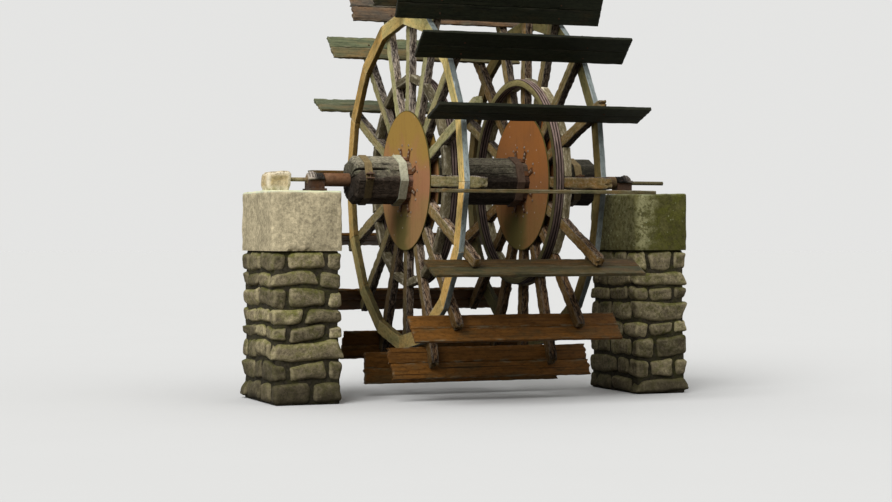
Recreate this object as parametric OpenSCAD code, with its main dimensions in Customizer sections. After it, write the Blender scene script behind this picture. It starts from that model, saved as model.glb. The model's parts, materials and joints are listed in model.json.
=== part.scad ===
// Undershot water wheel on a timber shaft, turning in iron bearings on two masonry piers.
// X runs along the shaft, Y across the stream and Z up. The origin is on the level of the
// piers' feet, under the middle of the wheel. Sizes are in millimetres.

/* [Arms] */
// Number of arms in each set, and of float boards
arm_count = 16; // [12:1:20]
// Distance between the middles of the two sets of arms, along the shaft
arm_spacing = 1244; // [1000:10:1500]
// Radius of the arms' tips
arm_tip_r = 1930; // [1850:10:2100]
// Width of an arm, seen along the shaft
arm_w = 120; // [80:5:150]
// Thickness of an arm, along the shaft
arm_t = 80; // [50:5:120]
// Turn of the wheel at rest, in degrees
wheel_turn = -2; // [-11:0.5:11]

/* [Floats] */
// Length of a float board, along the shaft
float_len = 2130; // [1800:10:2500]
// Width of a float board, outwards
float_w = 320; // [250:10:360]
// Thickness of a float board
float_t = 35; // [20:1:60]
// How far a float reaches past the arms' tips
float_over = 90; // [20:5:150]
// Gap between the floats and the level of the piers' feet
wheel_clear = 118; // [60:2:300]

/* [Rims] */
// Gap between the rim's corners and the inner edge of the floats
rim_gap = 15; // [5:1:60]
// Depth of the rim, outwards, at its corners
rim_d = 148; // [90:2:200]
// Thickness of the rim, along the shaft
rim_t = 55; // [30:1:90]
// Outer radius of the inner hoop
hoop_r = 1040; // [900:5:1200]
// Depth of the hoop, outwards
hoop_d = 80; // [50:1:110]
// Width of the hoop, along the shaft
hoop_w = 85; // [60:1:140]
// Depth of the grooves around the hoop
groove_d = 8; // [3:0.5:14]
// Width of each groove
groove_w = 7; // [3:0.5:12]

/* [Shaft] */
// Size of the eight-sided shaft, across its flats
shaft_af = 440; // [340:5:520]
// Gap between each end of the shaft and the inner face of its pier
shaft_gap = 230; // [200:5:265]
// Length of the chamfer on the shaft's ends
shaft_chamfer = 35; // [10:1:60]
// Distance of each iron band's inner edge from the middle of the wheel
band_x = 1085; // [880:5:1110]
// Width of an iron band
band_w = 75; // [40:1:100]
// Thickness of an iron band
band_t = 8; // [4:0.5:16]

/* [Discs] */
// Radius of the steel discs that clamp the arms
disc_r = 690; // [500:5:800]
// Thickness of a disc
disc_t = 10; // [5:0.5:20]
// Length of the foot and width of the angle cleats that hold the discs
cleat_w = 50; // [30:1:80]
// Height of the cleats, up the disc
cleat_h = 110; // [60:1:150]
// Thickness of the cleats
cleat_t = 9; // [5:0.5:16]
// Width of the collars beside the cleats
collar_w = 80; // [40:1:100]
// Thickness of the collars
collar_t = 14; // [6:0.5:25]

/* [Gudgeons] */
// Diameter of the gudgeons in the bearings and in the shaft
gudgeon_d = 80; // [50:1:100]
// Diameter of the stout length of each gudgeon, between the shaft and its bearing
neck_d = 130; // [105:1:160]
// How far a gudgeon is let into the shaft
tenon_len = 260; // [150:5:400]
// Diameter of the rod at the outer end of each gudgeon
rod_d = 40; // [20:1:48]
// How far the left rod reaches past its bearing
left_rod_len = 160; // [60:1:185]
// How far the right rod reaches past its bearing
right_rod_len = 390; // [100:5:400]

/* [Bearings] */
// Length of a bearing, along the shaft
bearing_len = 160; // [120:5:165]
// Distance of a bearing from its pier's inner face
bearing_inset = 37; // [5:1:45]
// Height of the gudgeon's axis above the top of the piers
bearing_rise = 110; // [100:1:180]
// Thickness of metal around the gudgeon
bearing_wall = 30; // [20:1:45]
// Height of the ribs around a bearing's cap
rib_h = 12; // [5:0.5:20]
// Thickness of a rib
rib_t = 16; // [8:0.5:20]
// Width of a bearing's foot, across the shaft
foot_w = 280; // [240:5:400]
// Thickness of the foot and of the cap's lugs
foot_t = 24; // [12:1:36]
// Clearance between a gudgeon and its bearing, on the radius
journal_clear = 0.6; // [0.3:0.1:2]

/* [Piers] */
// Distance of the left pier's inner face from the middle of the wheel
left_race_w = 1490; // [1455:5:1510]
// Distance of the right pier's inner face from the middle of the wheel
right_race_w = 1600; // [1455:5:1605]
// Distance of both piers' outer faces from the middle of the wheel
pier_end = 2200; // [2190:5:2600]
// Depth of a pier at its cap, across the shaft
pier_d = 1050; // [600:10:1400]
// Height of the concrete cap on each pier
cap_h = 580; // [300:10:900]
// How far the masonry's front and back lean out towards the foot
batter = 60; // [0:5:150]
// Chamfer on the edges of the caps
cap_chamfer = 18; // [5:1:40]
// Length of the end stone on the left pier, along the shaft
stone_len = 270; // [200:5:300]
// Depth of the end stone, across the shaft
stone_d = 240; // [150:5:450]
// Height of the end stone
stone_h = 190; // [120:5:300]
// Gap between the left rod and the end stone
stone_gap = 8; // [5:1:40]

/* [Hidden] */
// Round faces of the small and of the large pieces
$fn = 96;
large_fn = 160;

// Angle between neighbouring arms
pitch = 360 / arm_count;
half_pitch = pitch / 2;

// Facets of the shaft, one to each pair of arms, and the angle between them
facets = 8;
facet_turn = 360 / facets;
shaft_r = shaft_af / 2 / cos(facet_turn / 2);

// Gap between timbers that only butt, and clearance between pieces that are fitted together
butt_clear = 2;
fit_clear = 0.3;

// Running clearance between a gudgeon's shoulder and the face of its bearing
shoulder_clear = 8;

// Ribs on a bearing's cap and grooves around a hoop
rib_count = 4;
groove_count = 3;

float_r = arm_tip_r + float_over;
float_corner_r = norm([float_r, arm_w / 2 + fit_clear + float_t]);
axle_h = float_corner_r + wheel_clear;
rim_r = float_r - float_w - rim_gap;
pier_top = axle_h - bearing_rise;
base_top = pier_top - cap_h;

// Stations along the shaft, from the middle outwards: the faces of the arms, the seats
// on both sides of them, and the outer faces of the discs
arm_x = arm_spacing / 2 - arm_t / 2;
arm_out_x = arm_x + arm_t;
in_seat_x = arm_x - fit_clear;
out_seat_x = arm_out_x + fit_clear;
in_disc_x = in_seat_x - disc_t;
out_disc_x = out_seat_x + disc_t;

// Stations that differ from side to side, because the wheel stands nearer to the left pier
function pier_x(side) = side < 0 ? left_race_w : right_race_w;
function shaft_end_x(side) = pier_x(side) - shaft_gap;
function bearing_x(side) = pier_x(side) + bearing_inset;
function bearing_out_x(side) = bearing_x(side) + bearing_len;
stone_x = bearing_out_x(-1) + left_rod_len + stone_gap;

housing_r = gudgeon_d / 2 + bearing_wall;
bore_r = gudgeon_d / 2 + journal_clear;

function float_name(number) = str(number < 10 ? "float_0" : "float_", number);

// Puts a shape on the axle, from a local frame whose X axis is the shaft's
module on_axle() {
    translate([0, 0, axle_h]) children();
}

// Turns a shape about the shaft, so that its local -Y points outwards at that angle,
// measured upwards from the front
module at_angle(angle) {
    rotate([-angle, 0, 0]) children();
}

// Mirrors a right-hand shape to the left side
module on_side(side) {
    mirror([side < 0 ? 1 : 0, 0, 0]) children();
}

// Extrudes an outline drawn in Y and Z along X
module along_x(x, length) {
    translate([x, 0, 0]) rotate([90, 0, 90]) linear_extrude(length) children();
}

// Turns a profile of radius and distance along X about the shaft
module turned_on_x() {
    rotate([0, 90, 0]) rotate_extrude() children();
}

// An outline with the shaft's eight sides, with corners to the front and the top
module shaft_outline(grow = 0) {
    circle(r = shaft_r + grow / cos(facet_turn / 2), $fn = facets);
}

module chamfered_rectangle(w, h, chamfer) {
    polygon([
        [-w / 2 + chamfer, 0], [w / 2 - chamfer, 0],
        [w / 2, chamfer], [w / 2, h - chamfer],
        [w / 2 - chamfer, h], [-w / 2 + chamfer, h],
        [-w / 2, h - chamfer], [-w / 2, chamfer]
    ]);
}

// A block on the level z = 0 with every edge chamfered
module chamfered_block(w, d, h, chamfer) {
    intersection() {
        translate([0, d / 2, 0]) rotate([90, 0, 0])
            linear_extrude(d) chamfered_rectangle(w, h, chamfer);
        translate([-w / 2, 0, 0]) rotate([90, 0, 90])
            linear_extrude(w) chamfered_rectangle(d, h, chamfer);
        linear_extrude(h) translate([0, -d / 2]) chamfered_rectangle(w, d, chamfer);
    }
}

// Rubble masonry up to the cap, upright on the race side and leaning at front and back
module pier_base(side) {
    color("#7d745e")
    on_side(side) along_x(pier_x(side), pier_end - pier_x(side))
        polygon([
            [-pier_d / 2 - batter, 0], [pier_d / 2 + batter, 0],
            [pier_d / 2, base_top], [-pier_d / 2, base_top]
        ]);
}

module pier_cap(side, tint) {
    color(tint)
    on_side(side) translate([(pier_x(side) + pier_end) / 2, 0, base_top])
        chamfered_block(pier_end - pier_x(side), pier_d, cap_h, cap_chamfer);
}

module end_stone() {
    color("#c4bc9c")
    on_side(-1) translate([stone_x + stone_len / 2, 0, pier_top])
        chamfered_block(stone_len, stone_d, stone_h, stone_h / 6);
}

// The lower half of a bearing, with its foot on the pier
module bearing_block(side) {
    color("#4f4338")
    on_axle() on_side(side) along_x(bearing_x(side), bearing_len)
        difference() {
            union() {
                translate([-foot_w / 2, -bearing_rise]) square([foot_w, foot_t]);
                translate([-housing_r, -bearing_rise]) square([2 * housing_r, bearing_rise]);
            }
            circle(r = bore_r);
        }
}

module upper_half(r) {
    intersection() {
        circle(r = r);
        translate([-r, 0]) square([2 * r, r]);
    }
}

// The ribbed upper half of a bearing, with a lug at each side
module bearing_cap(side) {
    color("#6a5a50")
    on_axle() on_side(side) {
        rib_step = (bearing_len - rib_t) / (rib_count - 1);
        difference() {
            union() {
                along_x(bearing_x(side), bearing_len) {
                    upper_half(housing_r);
                    translate([-housing_r - foot_t, 0])
                        square([2 * (housing_r + foot_t), foot_t]);
                }
                for (i = [0 : rib_count - 1])
                    along_x(bearing_x(side) + i * rib_step, rib_t)
                        upper_half(housing_r + rib_h);
            }
            along_x(bearing_x(side) - 1, bearing_len + 2) circle(r = bore_r);
        }
    }
}

// The eight-sided shaft with turned chamfers and a socket for each gudgeon
module shaft() {
    left_x = -shaft_end_x(-1);
    right_x = shaft_end_x(1);
    color("#5a5446")
    on_axle() at_angle(wheel_turn)
        difference() {
            intersection() {
                translate([left_x, 0, 0]) rotate([0, 90, 0])
                    linear_extrude(right_x - left_x) shaft_outline();
                turned_on_x()
                    polygon([
                        [0, left_x], [shaft_af / 2 - shaft_chamfer, left_x],
                        [shaft_r + shaft_chamfer, left_x + 2 * shaft_chamfer],
                        [shaft_r + shaft_chamfer, right_x - 2 * shaft_chamfer],
                        [shaft_af / 2 - shaft_chamfer, right_x], [0, right_x]
                    ]);
            }
            for (side = [-1, 1])
                on_side(side) translate([shaft_end_x(side) - tenon_len, 0, 0])
                    rotate([0, 90, 0])
                        cylinder(r = gudgeon_d / 2 + fit_clear, h = tenon_len + 1);
        }
}

// A flat iron or timber ring around the shaft's facets
module shaft_ring(x, width, thickness) {
    translate([x, 0, 0]) rotate([0, 90, 0])
        linear_extrude(width)
            difference() {
                shaft_outline(thickness);
                shaft_outline(fit_clear);
            }
}

module shaft_bands() {
    color("#6b4535")
    on_axle() at_angle(wheel_turn)
        for (side = [-1, 1])
            on_side(side) shaft_ring(band_x, band_w, band_t);
}

// A gudgeon in one piece: its tenon in the shaft, its stout neck with a shoulder at each
// end, its journal and its thin rod
module gudgeon(side, rod_len) {
    tenon_x = shaft_end_x(side) - tenon_len;
    neck_x = shaft_end_x(side) + fit_clear;
    shoulder_x = bearing_x(side) - shoulder_clear;
    journal_end_x = bearing_out_x(side);
    rod_end_x = journal_end_x + rod_len;
    color("#70463a")
    on_axle() on_side(side) turned_on_x()
        polygon([
            [0, tenon_x], [gudgeon_d / 2, tenon_x],
            [gudgeon_d / 2, neck_x], [neck_d / 2, neck_x],
            [neck_d / 2, shoulder_x], [gudgeon_d / 2, shoulder_x],
            [gudgeon_d / 2, journal_end_x], [rod_d / 2, journal_end_x],
            [rod_d / 2, rod_end_x], [0, rod_end_x]
        ]);
}

// The collars on both sides of one pair of discs, outside the cleats
module collars(side, tint) {
    color(tint)
    on_axle() at_angle(wheel_turn) on_side(side) {
        shaft_ring(out_disc_x + fit_clear + cleat_w + butt_clear, collar_w, collar_t);
        shaft_ring(in_disc_x - fit_clear - cleat_w - butt_clear - collar_w, collar_w, collar_t);
    }
}

module disc(side, x, tint) {
    color(tint)
    on_axle() at_angle(wheel_turn) on_side(side)
        translate([x, 0, 0]) rotate([0, 90, 0])
            linear_extrude(disc_t)
                difference() {
                    circle(r = disc_r, $fn = large_fn);
                    shaft_outline(fit_clear);
                }
}

// One angle cleat, drawn for a facet that faces the front, with its upright leg at x = 0
// and its foot towards +X
module cleat() {
    translate([0, -shaft_af / 2 - fit_clear, -cleat_w / 2])
        rotate([0, 0, -90])
            linear_extrude(cleat_w)
                polygon([
                    [0, 0], [0, cleat_w], [cleat_t, cleat_w], [cleat_t, cleat_t],
                    [cleat_h, cleat_t], [cleat_h, 0]
                ]);
}

// The cleats on both sides of one pair of discs, one to each facet of the shaft
module cleats(side) {
    color("#5e3d2f")
    on_axle() on_side(side)
        for (i = [0 : facets - 1])
            at_angle(wheel_turn + (i + 0.5) * facet_turn) {
                translate([out_disc_x + fit_clear, 0, 0]) cleat();
                translate([in_disc_x - fit_clear, 0, 0]) mirror([1, 0, 0]) cleat();
            }
}

// An arm's outline, with its root mitred between its neighbours
module arm_outline() {
    root_r = shaft_r + butt_clear;
    apex_r = butt_clear / 2 / sin(half_pitch);
    wedge_half = (arm_tip_r - apex_r) * tan(half_pitch);
    intersection() {
        translate([-arm_tip_r, -arm_w / 2]) square([arm_tip_r - root_r, arm_w]);
        polygon([[-apex_r, 0], [-arm_tip_r, wedge_half], [-arm_tip_r, -wedge_half]]);
    }
}

module arms(side) {
    color("#73694c")
    on_axle() on_side(side)
        for (i = [0 : arm_count - 1])
            at_angle(wheel_turn + i * pitch) along_x(arm_x, arm_t) arm_outline();
}

// A straight length of the rim with mitred ends, whose corners are at the arms
module rim_outline() {
    inner_r = rim_r - rim_d;
    mitre = butt_clear / 2 / cos(half_pitch);
    inner_half = inner_r * sin(half_pitch) - mitre;
    outer_half = rim_r * sin(half_pitch) - mitre;
    polygon([
        [-inner_r * cos(half_pitch), -inner_half], [-rim_r * cos(half_pitch), -outer_half],
        [-rim_r * cos(half_pitch), outer_half], [-inner_r * cos(half_pitch), inner_half]
    ]);
}

module rim(side) {
    color("#8a6a3a")
    on_axle() on_side(side)
        for (i = [0 : arm_count - 1])
            at_angle(wheel_turn + (i + 0.5) * pitch) along_x(out_seat_x, rim_t) rim_outline();
}

// The grooved hoop on the inner faces of one set of arms
module hoop(side) {
    groove_step = hoop_w / (groove_count + 1);
    color("#5a4440")
    on_axle() on_side(side)
        rotate([0, 90, 0]) rotate_extrude($fn = large_fn)
            difference() {
                translate([hoop_r - hoop_d, in_seat_x - hoop_w]) square([hoop_d, hoop_w]);
                for (i = [1 : groove_count], r = [hoop_r - hoop_d, hoop_r])
                    translate([r - groove_d, in_seat_x - i * groove_step - groove_w / 2])
                        square([2 * groove_d, groove_w]);
            }
}

// A block between two arms, in line with the hoop
module felloe_outline() {
    inner_r = hoop_r - hoop_d;
    function half_gap(r) = (r * sin(half_pitch) - arm_w / 2) / cos(half_pitch) - fit_clear;
    polygon([
        [-inner_r, -half_gap(inner_r)], [-hoop_r, -half_gap(hoop_r)],
        [-hoop_r, half_gap(hoop_r)], [-inner_r, half_gap(inner_r)]
    ]);
}

module felloes(side) {
    color("#7f6547")
    on_axle() on_side(side)
        for (i = [0 : arm_count - 1])
            at_angle(wheel_turn + (i + 0.5) * pitch) along_x(arm_x, arm_t) felloe_outline();
}

// A board across both sets of arms, on the lower face of the arms at the front
module float_board(number) {
    color("#3c342b")
    on_axle() at_angle(wheel_turn + (number - 1) * pitch)
        translate([-float_len / 2, -float_r, -arm_w / 2 - fit_clear - float_t])
            cube([float_len, float_w, float_t]);
}

pier_base(-1);  // left_pier_base
pier_cap(-1, "#a39a78");  // left_pier_cap
pier_base(1);  // right_pier_base
pier_cap(1, "#6a6a4a");  // right_pier_cap
end_stone();  // left_end_stone
bearing_block(-1);  // left_bearing_block
bearing_cap(-1);  // left_bearing_cap
bearing_block(1);  // right_bearing_block
bearing_cap(1);  // right_bearing_cap
shaft();
shaft_bands();
gudgeon(-1, left_rod_len);  // left_gudgeon
gudgeon(1, right_rod_len);  // right_gudgeon
collars(-1, "#8a9078");  // left_collars
collars(1, "#7a6048");  // right_collars
disc(-1, out_seat_x, "#8c6432");  // left_outer_disc
disc(-1, in_disc_x, "#8c5a34");  // left_inner_disc
disc(1, in_disc_x, "#96552c");  // right_inner_disc
disc(1, out_seat_x, "#8c5a34");  // right_outer_disc
cleats(-1);  // left_cleats
cleats(1);  // right_cleats
arms(-1);  // left_arms
arms(1);  // right_arms
rim(-1);  // left_rim
rim(1);  // right_rim
hoop(-1);  // left_hoop
hoop(1);  // right_hoop
felloes(-1);  // left_felloes
felloes(1);  // right_felloes
for (number = [1 : arm_count])
    float_board(number);
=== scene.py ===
"""Undershot water wheel on two bearing piers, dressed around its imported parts.

Sizes and colours are properties, and each group of pieces has its own operator. Lengths are in
metres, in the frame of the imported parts: X along the shaft, Y from front to back and Z up.
"""
import json
import math
import random

import bmesh
import bpy
from bpy.props import FloatProperty, FloatVectorProperty, PointerProperty
from bpy.types import NodeSocket, Operator, Panel, PropertyGroup
from mathutils import Matrix, Vector, noise


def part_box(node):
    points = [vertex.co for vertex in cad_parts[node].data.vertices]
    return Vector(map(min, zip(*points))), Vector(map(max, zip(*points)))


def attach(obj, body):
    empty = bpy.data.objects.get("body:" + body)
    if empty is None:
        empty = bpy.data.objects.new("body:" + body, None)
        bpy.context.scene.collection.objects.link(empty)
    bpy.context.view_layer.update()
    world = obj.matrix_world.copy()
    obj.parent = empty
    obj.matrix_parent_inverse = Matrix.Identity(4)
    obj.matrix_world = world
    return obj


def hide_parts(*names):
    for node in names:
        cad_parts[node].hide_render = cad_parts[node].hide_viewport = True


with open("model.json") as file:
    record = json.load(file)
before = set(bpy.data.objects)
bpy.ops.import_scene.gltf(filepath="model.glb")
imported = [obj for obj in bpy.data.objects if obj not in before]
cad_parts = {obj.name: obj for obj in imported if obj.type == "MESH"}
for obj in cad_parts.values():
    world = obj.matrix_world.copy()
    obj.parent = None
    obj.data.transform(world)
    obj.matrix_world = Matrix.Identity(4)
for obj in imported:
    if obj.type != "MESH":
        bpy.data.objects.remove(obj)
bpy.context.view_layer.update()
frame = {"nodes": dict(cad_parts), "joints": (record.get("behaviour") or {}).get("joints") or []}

bl_info = {
    "name": "Water wheel",
    "version": (1, 0, 0),
    "blender": (4, 5, 0),
    "location": "3D View > Sidebar > Water wheel",
    "description": "Builds the timbers, ironwork and piers of an undershot water wheel",
    "category": "Add Mesh",
}

AXLE = Vector(frame["joints"][0]["pos_m"])
SIDES = {"left": -1, "right": 1}
ALONG = Vector((1, 0, 0))
ACROSS = Vector((0, 1, 0))
UP = Vector((0, 0, 1))
ARM_COUNT = 16
PITCH = math.tau / ARM_COUNT
FACETS = 8
WHEEL_TURN = math.radians(-2)
LAYERS = ("tone", "tint", "wear")
BUTT_GAP = 0.002
# A face turns to an axis where its normal has more than this along it
TURNED = 0.6
DRY_ABOVE = 1.75
SOAKED_BELOW = 0.55
NOISE_SEED = 7
CAMERA_PLACE = (-7.36, -18.066, 1.572)
CAMERA_LOOK = (0.3668, 0.9303, -0.0066)
# Aim, share of the key light's strength and spread in degrees of each lamp
LAMPS = {
    "key_sun": ((0.56, 0.52, -0.66), 1.0, 40),
    "fill_sun": ((-0.62, 0.45, -0.6), 0.1, 60),
}


def size(name, description, default):
    return FloatProperty(name=name, description=description, default=default, min=0, unit="LENGTH")


def colour(name, description, default):
    return FloatVectorProperty(
        name=name, description=description, default=default, size=3, min=0, max=1, subtype="COLOR"
    )


class WheelSizes(PropertyGroup):
    arm_root: size("Arm root", "Radius where the arms meet the shaft", 0.2402)
    arm_tip: size("Arm tip", "Radius of the arms' tips", 1.93)
    arm_width: size("Arm width", "Width of an arm, seen along the shaft", 0.12)
    float_radius: size("Float radius", "Radius of the floats' outer edge", 2.02)
    float_width: size("Float width", "Width of a float, outwards", 0.32)
    float_thickness: size("Float thickness", "Thickness of a float", 0.035)
    rim_radius: size("Rim radius", "Radius of the rim's outer corners", 1.685)
    rim_depth: size("Rim depth", "Depth of the rim, outwards", 0.148)
    hoop_radius: size("Hoop radius", "Outer radius of the inner hoop", 1.04)
    hoop_depth: size("Hoop depth", "Depth of the hoop, outwards", 0.08)
    disc_radius: size("Disc radius", "Radius of the steel discs", 0.69)
    shaft_flats: size("Shaft", "Size of the shaft across its flats", 0.44)
    shaft_chamfer: size("Shaft chamfer", "Length of the chamfer on the shaft's ends", 0.035)
    band_width: size("Band width", "Width of one of the shaft's bands", 0.075)
    housing: size("Bearing housing", "Outer radius of a bearing, without its ribs", 0.07)
    bore: size("Bearing bore", "Radius of the bore in a bearing's cap", 0.0406)
    rib: size("Bearing ribs", "Height of the ribs on a bearing's cap", 0.012)
    foot: size("Bearing foot", "Thickness of the bearings' feet and of the caps' lugs", 0.024)
    bolt: size("Bolt heads", "Radius of a bolt's head", 0.014)


class PierSizes(PropertyGroup):
    course: size("Course", "Middle height of a course of stones", 0.165)
    stone: size("Stone", "Middle length of a stone", 0.36)
    stone_depth: size("Stone depth", "How far the stones reach into the wall", 0.16)
    joint: size("Joint", "Middle width of the joints between the stones", 0.016)
    core_inset: size("Core inset", "How far the joints lie behind the stones", 0.035)
    batter: size("Batter", "How far the masonry leans out towards the foot", 0.06)


class TimberColours(PropertyGroup):
    arm_cool: colour("Arm, green", "Planed arms where algae tint them", (0.340, 0.320, 0.150))
    arm_warm: colour("Arm, brown", "Planed arms where they are wet and bare", (0.270, 0.150, 0.045))
    arm_worn: colour("Arm, worn", "Bleached spots and edges of the arms", (0.400, 0.340, 0.240))
    bark_pale: colour("Bark, pale", "Raised fibres of the rough sides", (0.280, 0.240, 0.190))
    bark_dark: colour("Bark, dark", "Hollows of the rough sides", (0.034, 0.025, 0.021))
    rim_cool: colour("Rim, olive", "Rim segments under algae", (0.490, 0.435, 0.175))
    rim_warm: colour("Rim, orange", "Bare rim segments", (0.660, 0.400, 0.120))
    rim_worn: colour("Rim, worn", "Bleached spots and edges of the rims", (0.600, 0.520, 0.300))
    rim_edge: colour("Rim edge", "Weathered outer edge of the rims", (0.340, 0.390, 0.375))
    hoop_face: colour("Hoop face", "Flat faces of the hoops", (0.380, 0.320, 0.130))
    hoop_worn: colour("Hoop, worn", "Bleached spots of the hoops' faces", (0.400, 0.340, 0.200))
    # Painted highlight on the hoops' rib crests, and painted shade in their grooves
    hoop_crest_highlight: colour("Hoop, crests", "Crests of the ribs around the hoops", (0.250, 0.178, 0.152))
    hoop_groove_shade: colour("Hoop, grooves", "Grooves between the ribs", (0.020, 0.013, 0.011))
    felloe: colour("Felloe", "Blocks between the arms", (0.270, 0.220, 0.120))
    felloe_worn: colour("Felloe, worn", "Bleached edges of the blocks", (0.950, 0.860, 0.660))
    float_grey: colour("Float, grey", "Dry and weathered floats", (0.160, 0.180, 0.095))
    float_old: colour("Float, old", "Oldest float, at the back", (0.210, 0.188, 0.152))
    float_brown: colour("Float, brown", "Wet and bare floats", (0.290, 0.120, 0.022))
    float_worn: colour("Float, worn", "Bleached edges of the floats", (0.260, 0.230, 0.150))
    shaft_top: colour("Shaft, top", "Weathered upper facets of the shaft", (0.255, 0.228, 0.165))
    shaft_stain: colour("Shaft, rust", "Rust from the cleats", (0.240, 0.125, 0.080))
    # Painted shade on the lower facets, on top of their wetness
    shaft_low_shade: colour("Shaft, low", "Wet lower facets of the shaft", (0.052, 0.040, 0.030))
    shaft_lichen: colour("Shaft, lichen", "Growth on top of the shaft", (0.360, 0.350, 0.220))
    # Painted shade in the open cracks
    shaft_crack_shade: colour("Shaft, cracks", "Depth of the open cracks", (0.012, 0.010, 0.008))


class IronColours(PropertyGroup):
    disc_ochre: colour("Disc, ochre", "Upper part of the left discs", (0.320, 0.196, 0.050))
    disc_rose: colour("Disc, rose", "Middle of the left discs", (0.335, 0.160, 0.078))
    disc_orange: colour("Disc, orange", "Upper part of the right discs", (0.325, 0.128, 0.038))
    disc_maroon: colour("Disc, maroon", "Middle of the right discs", (0.270, 0.118, 0.046))
    disc_olive: colour("Disc, olive", "Run-off below the shaft", (0.130, 0.106, 0.034))
    disc_speck: colour("Disc, specks", "Pale specks on the discs", (0.500, 0.440, 0.340))
    rust: colour("Rust", "Gudgeons and cleats", (0.165, 0.072, 0.030))
    rust_pale: colour("Pale rust", "Second tone of the left gudgeon", (0.210, 0.120, 0.070))
    rust_dark: colour("Dark rust", "Hollows and wet places of the ironwork", (0.036, 0.020, 0.013))
    rod: colour("Rod", "Thin outer ends of the gudgeons", (0.360, 0.310, 0.160))
    band: colour("Band", "Upper part of the shaft's bands", (0.250, 0.185, 0.088))
    clamp: colour("Clamp", "Lugs that draw the bands tight", (0.150, 0.100, 0.070))
    collar_pale: colour("Pale collar", "Collars on the left", (0.600, 0.600, 0.440))
    collar_stain: colour("Collar stain", "Run-off on the left collars", (0.120, 0.100, 0.060))
    collar_brown: colour("Brown collar", "Collars on the right", (0.078, 0.052, 0.036))
    head: colour("Bolt heads", "Bolt heads on the discs", (0.320, 0.260, 0.200))
    head_rust: colour("Bolt rust", "Rusted bolt heads on the discs", (0.200, 0.130, 0.080))
    bearing: colour("Bearing", "Worn ribs of the bearing caps", (0.360, 0.310, 0.260))
    bearing_dark: colour("Bearing, dark", "Grooves of the bearing caps", (0.070, 0.045, 0.030))
    casting: colour("Casting", "Blocks of the bearings", (0.050, 0.040, 0.034))


class StoneColours(PropertyGroup):
    rubble_pale: colour("Rubble, pale", "Pale stones", (0.300, 0.255, 0.150))
    rubble_dark: colour("Rubble, dark", "Dark stones", (0.120, 0.098, 0.060))
    mortar: colour("Joints", "Earth in the joints", (0.040, 0.034, 0.022))
    moss: colour("Moss", "Moss on the masonry", (0.078, 0.078, 0.014))
    concrete: colour("Concrete", "Dry concrete of the left cap", (0.545, 0.465, 0.300))
    crown: colour("Crown", "Bleached upper edge of the left cap", (0.620, 0.680, 0.520))
    concrete_wet: colour("Wet concrete", "Stained concrete of the right cap", (0.060, 0.055, 0.018))
    patch: colour("Patch", "Pale patch near the wheel on the right cap", (0.340, 0.325, 0.165))
    lichen: colour("Lichen", "Pale growth on the caps", (0.420, 0.440, 0.260))
    limestone: colour("Limestone", "End stone", (0.740, 0.670, 0.520))
    limestone_dark: colour("Limestone, dark", "Hollows of the end stone", (0.360, 0.270, 0.130))


class StageSettings(PropertyGroup):
    floor: colour("Floor", "Colour of the floor", (0.505, 0.505, 0.502))
    backdrop: colour("Backdrop", "Colour of the backdrop", (0.780, 0.780, 0.770))
    bounce: colour("Bounce", "Light that the floor gives back", (0.080, 0.077, 0.070))
    horizon: colour("Horizon", "Light from the sides", (0.130, 0.130, 0.120))
    zenith: colour("Zenith", "Light from above", (1.000, 1.000, 0.980))
    sun: FloatProperty(name="Key light", description="Strength of the key light", default=3.3)
    sky: FloatProperty(name="Sky", description="Strength of the light from above", default=0.95)
    lens: FloatProperty(name="Lens", description="Focal length", default=78.62, unit="CAMERA")


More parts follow.
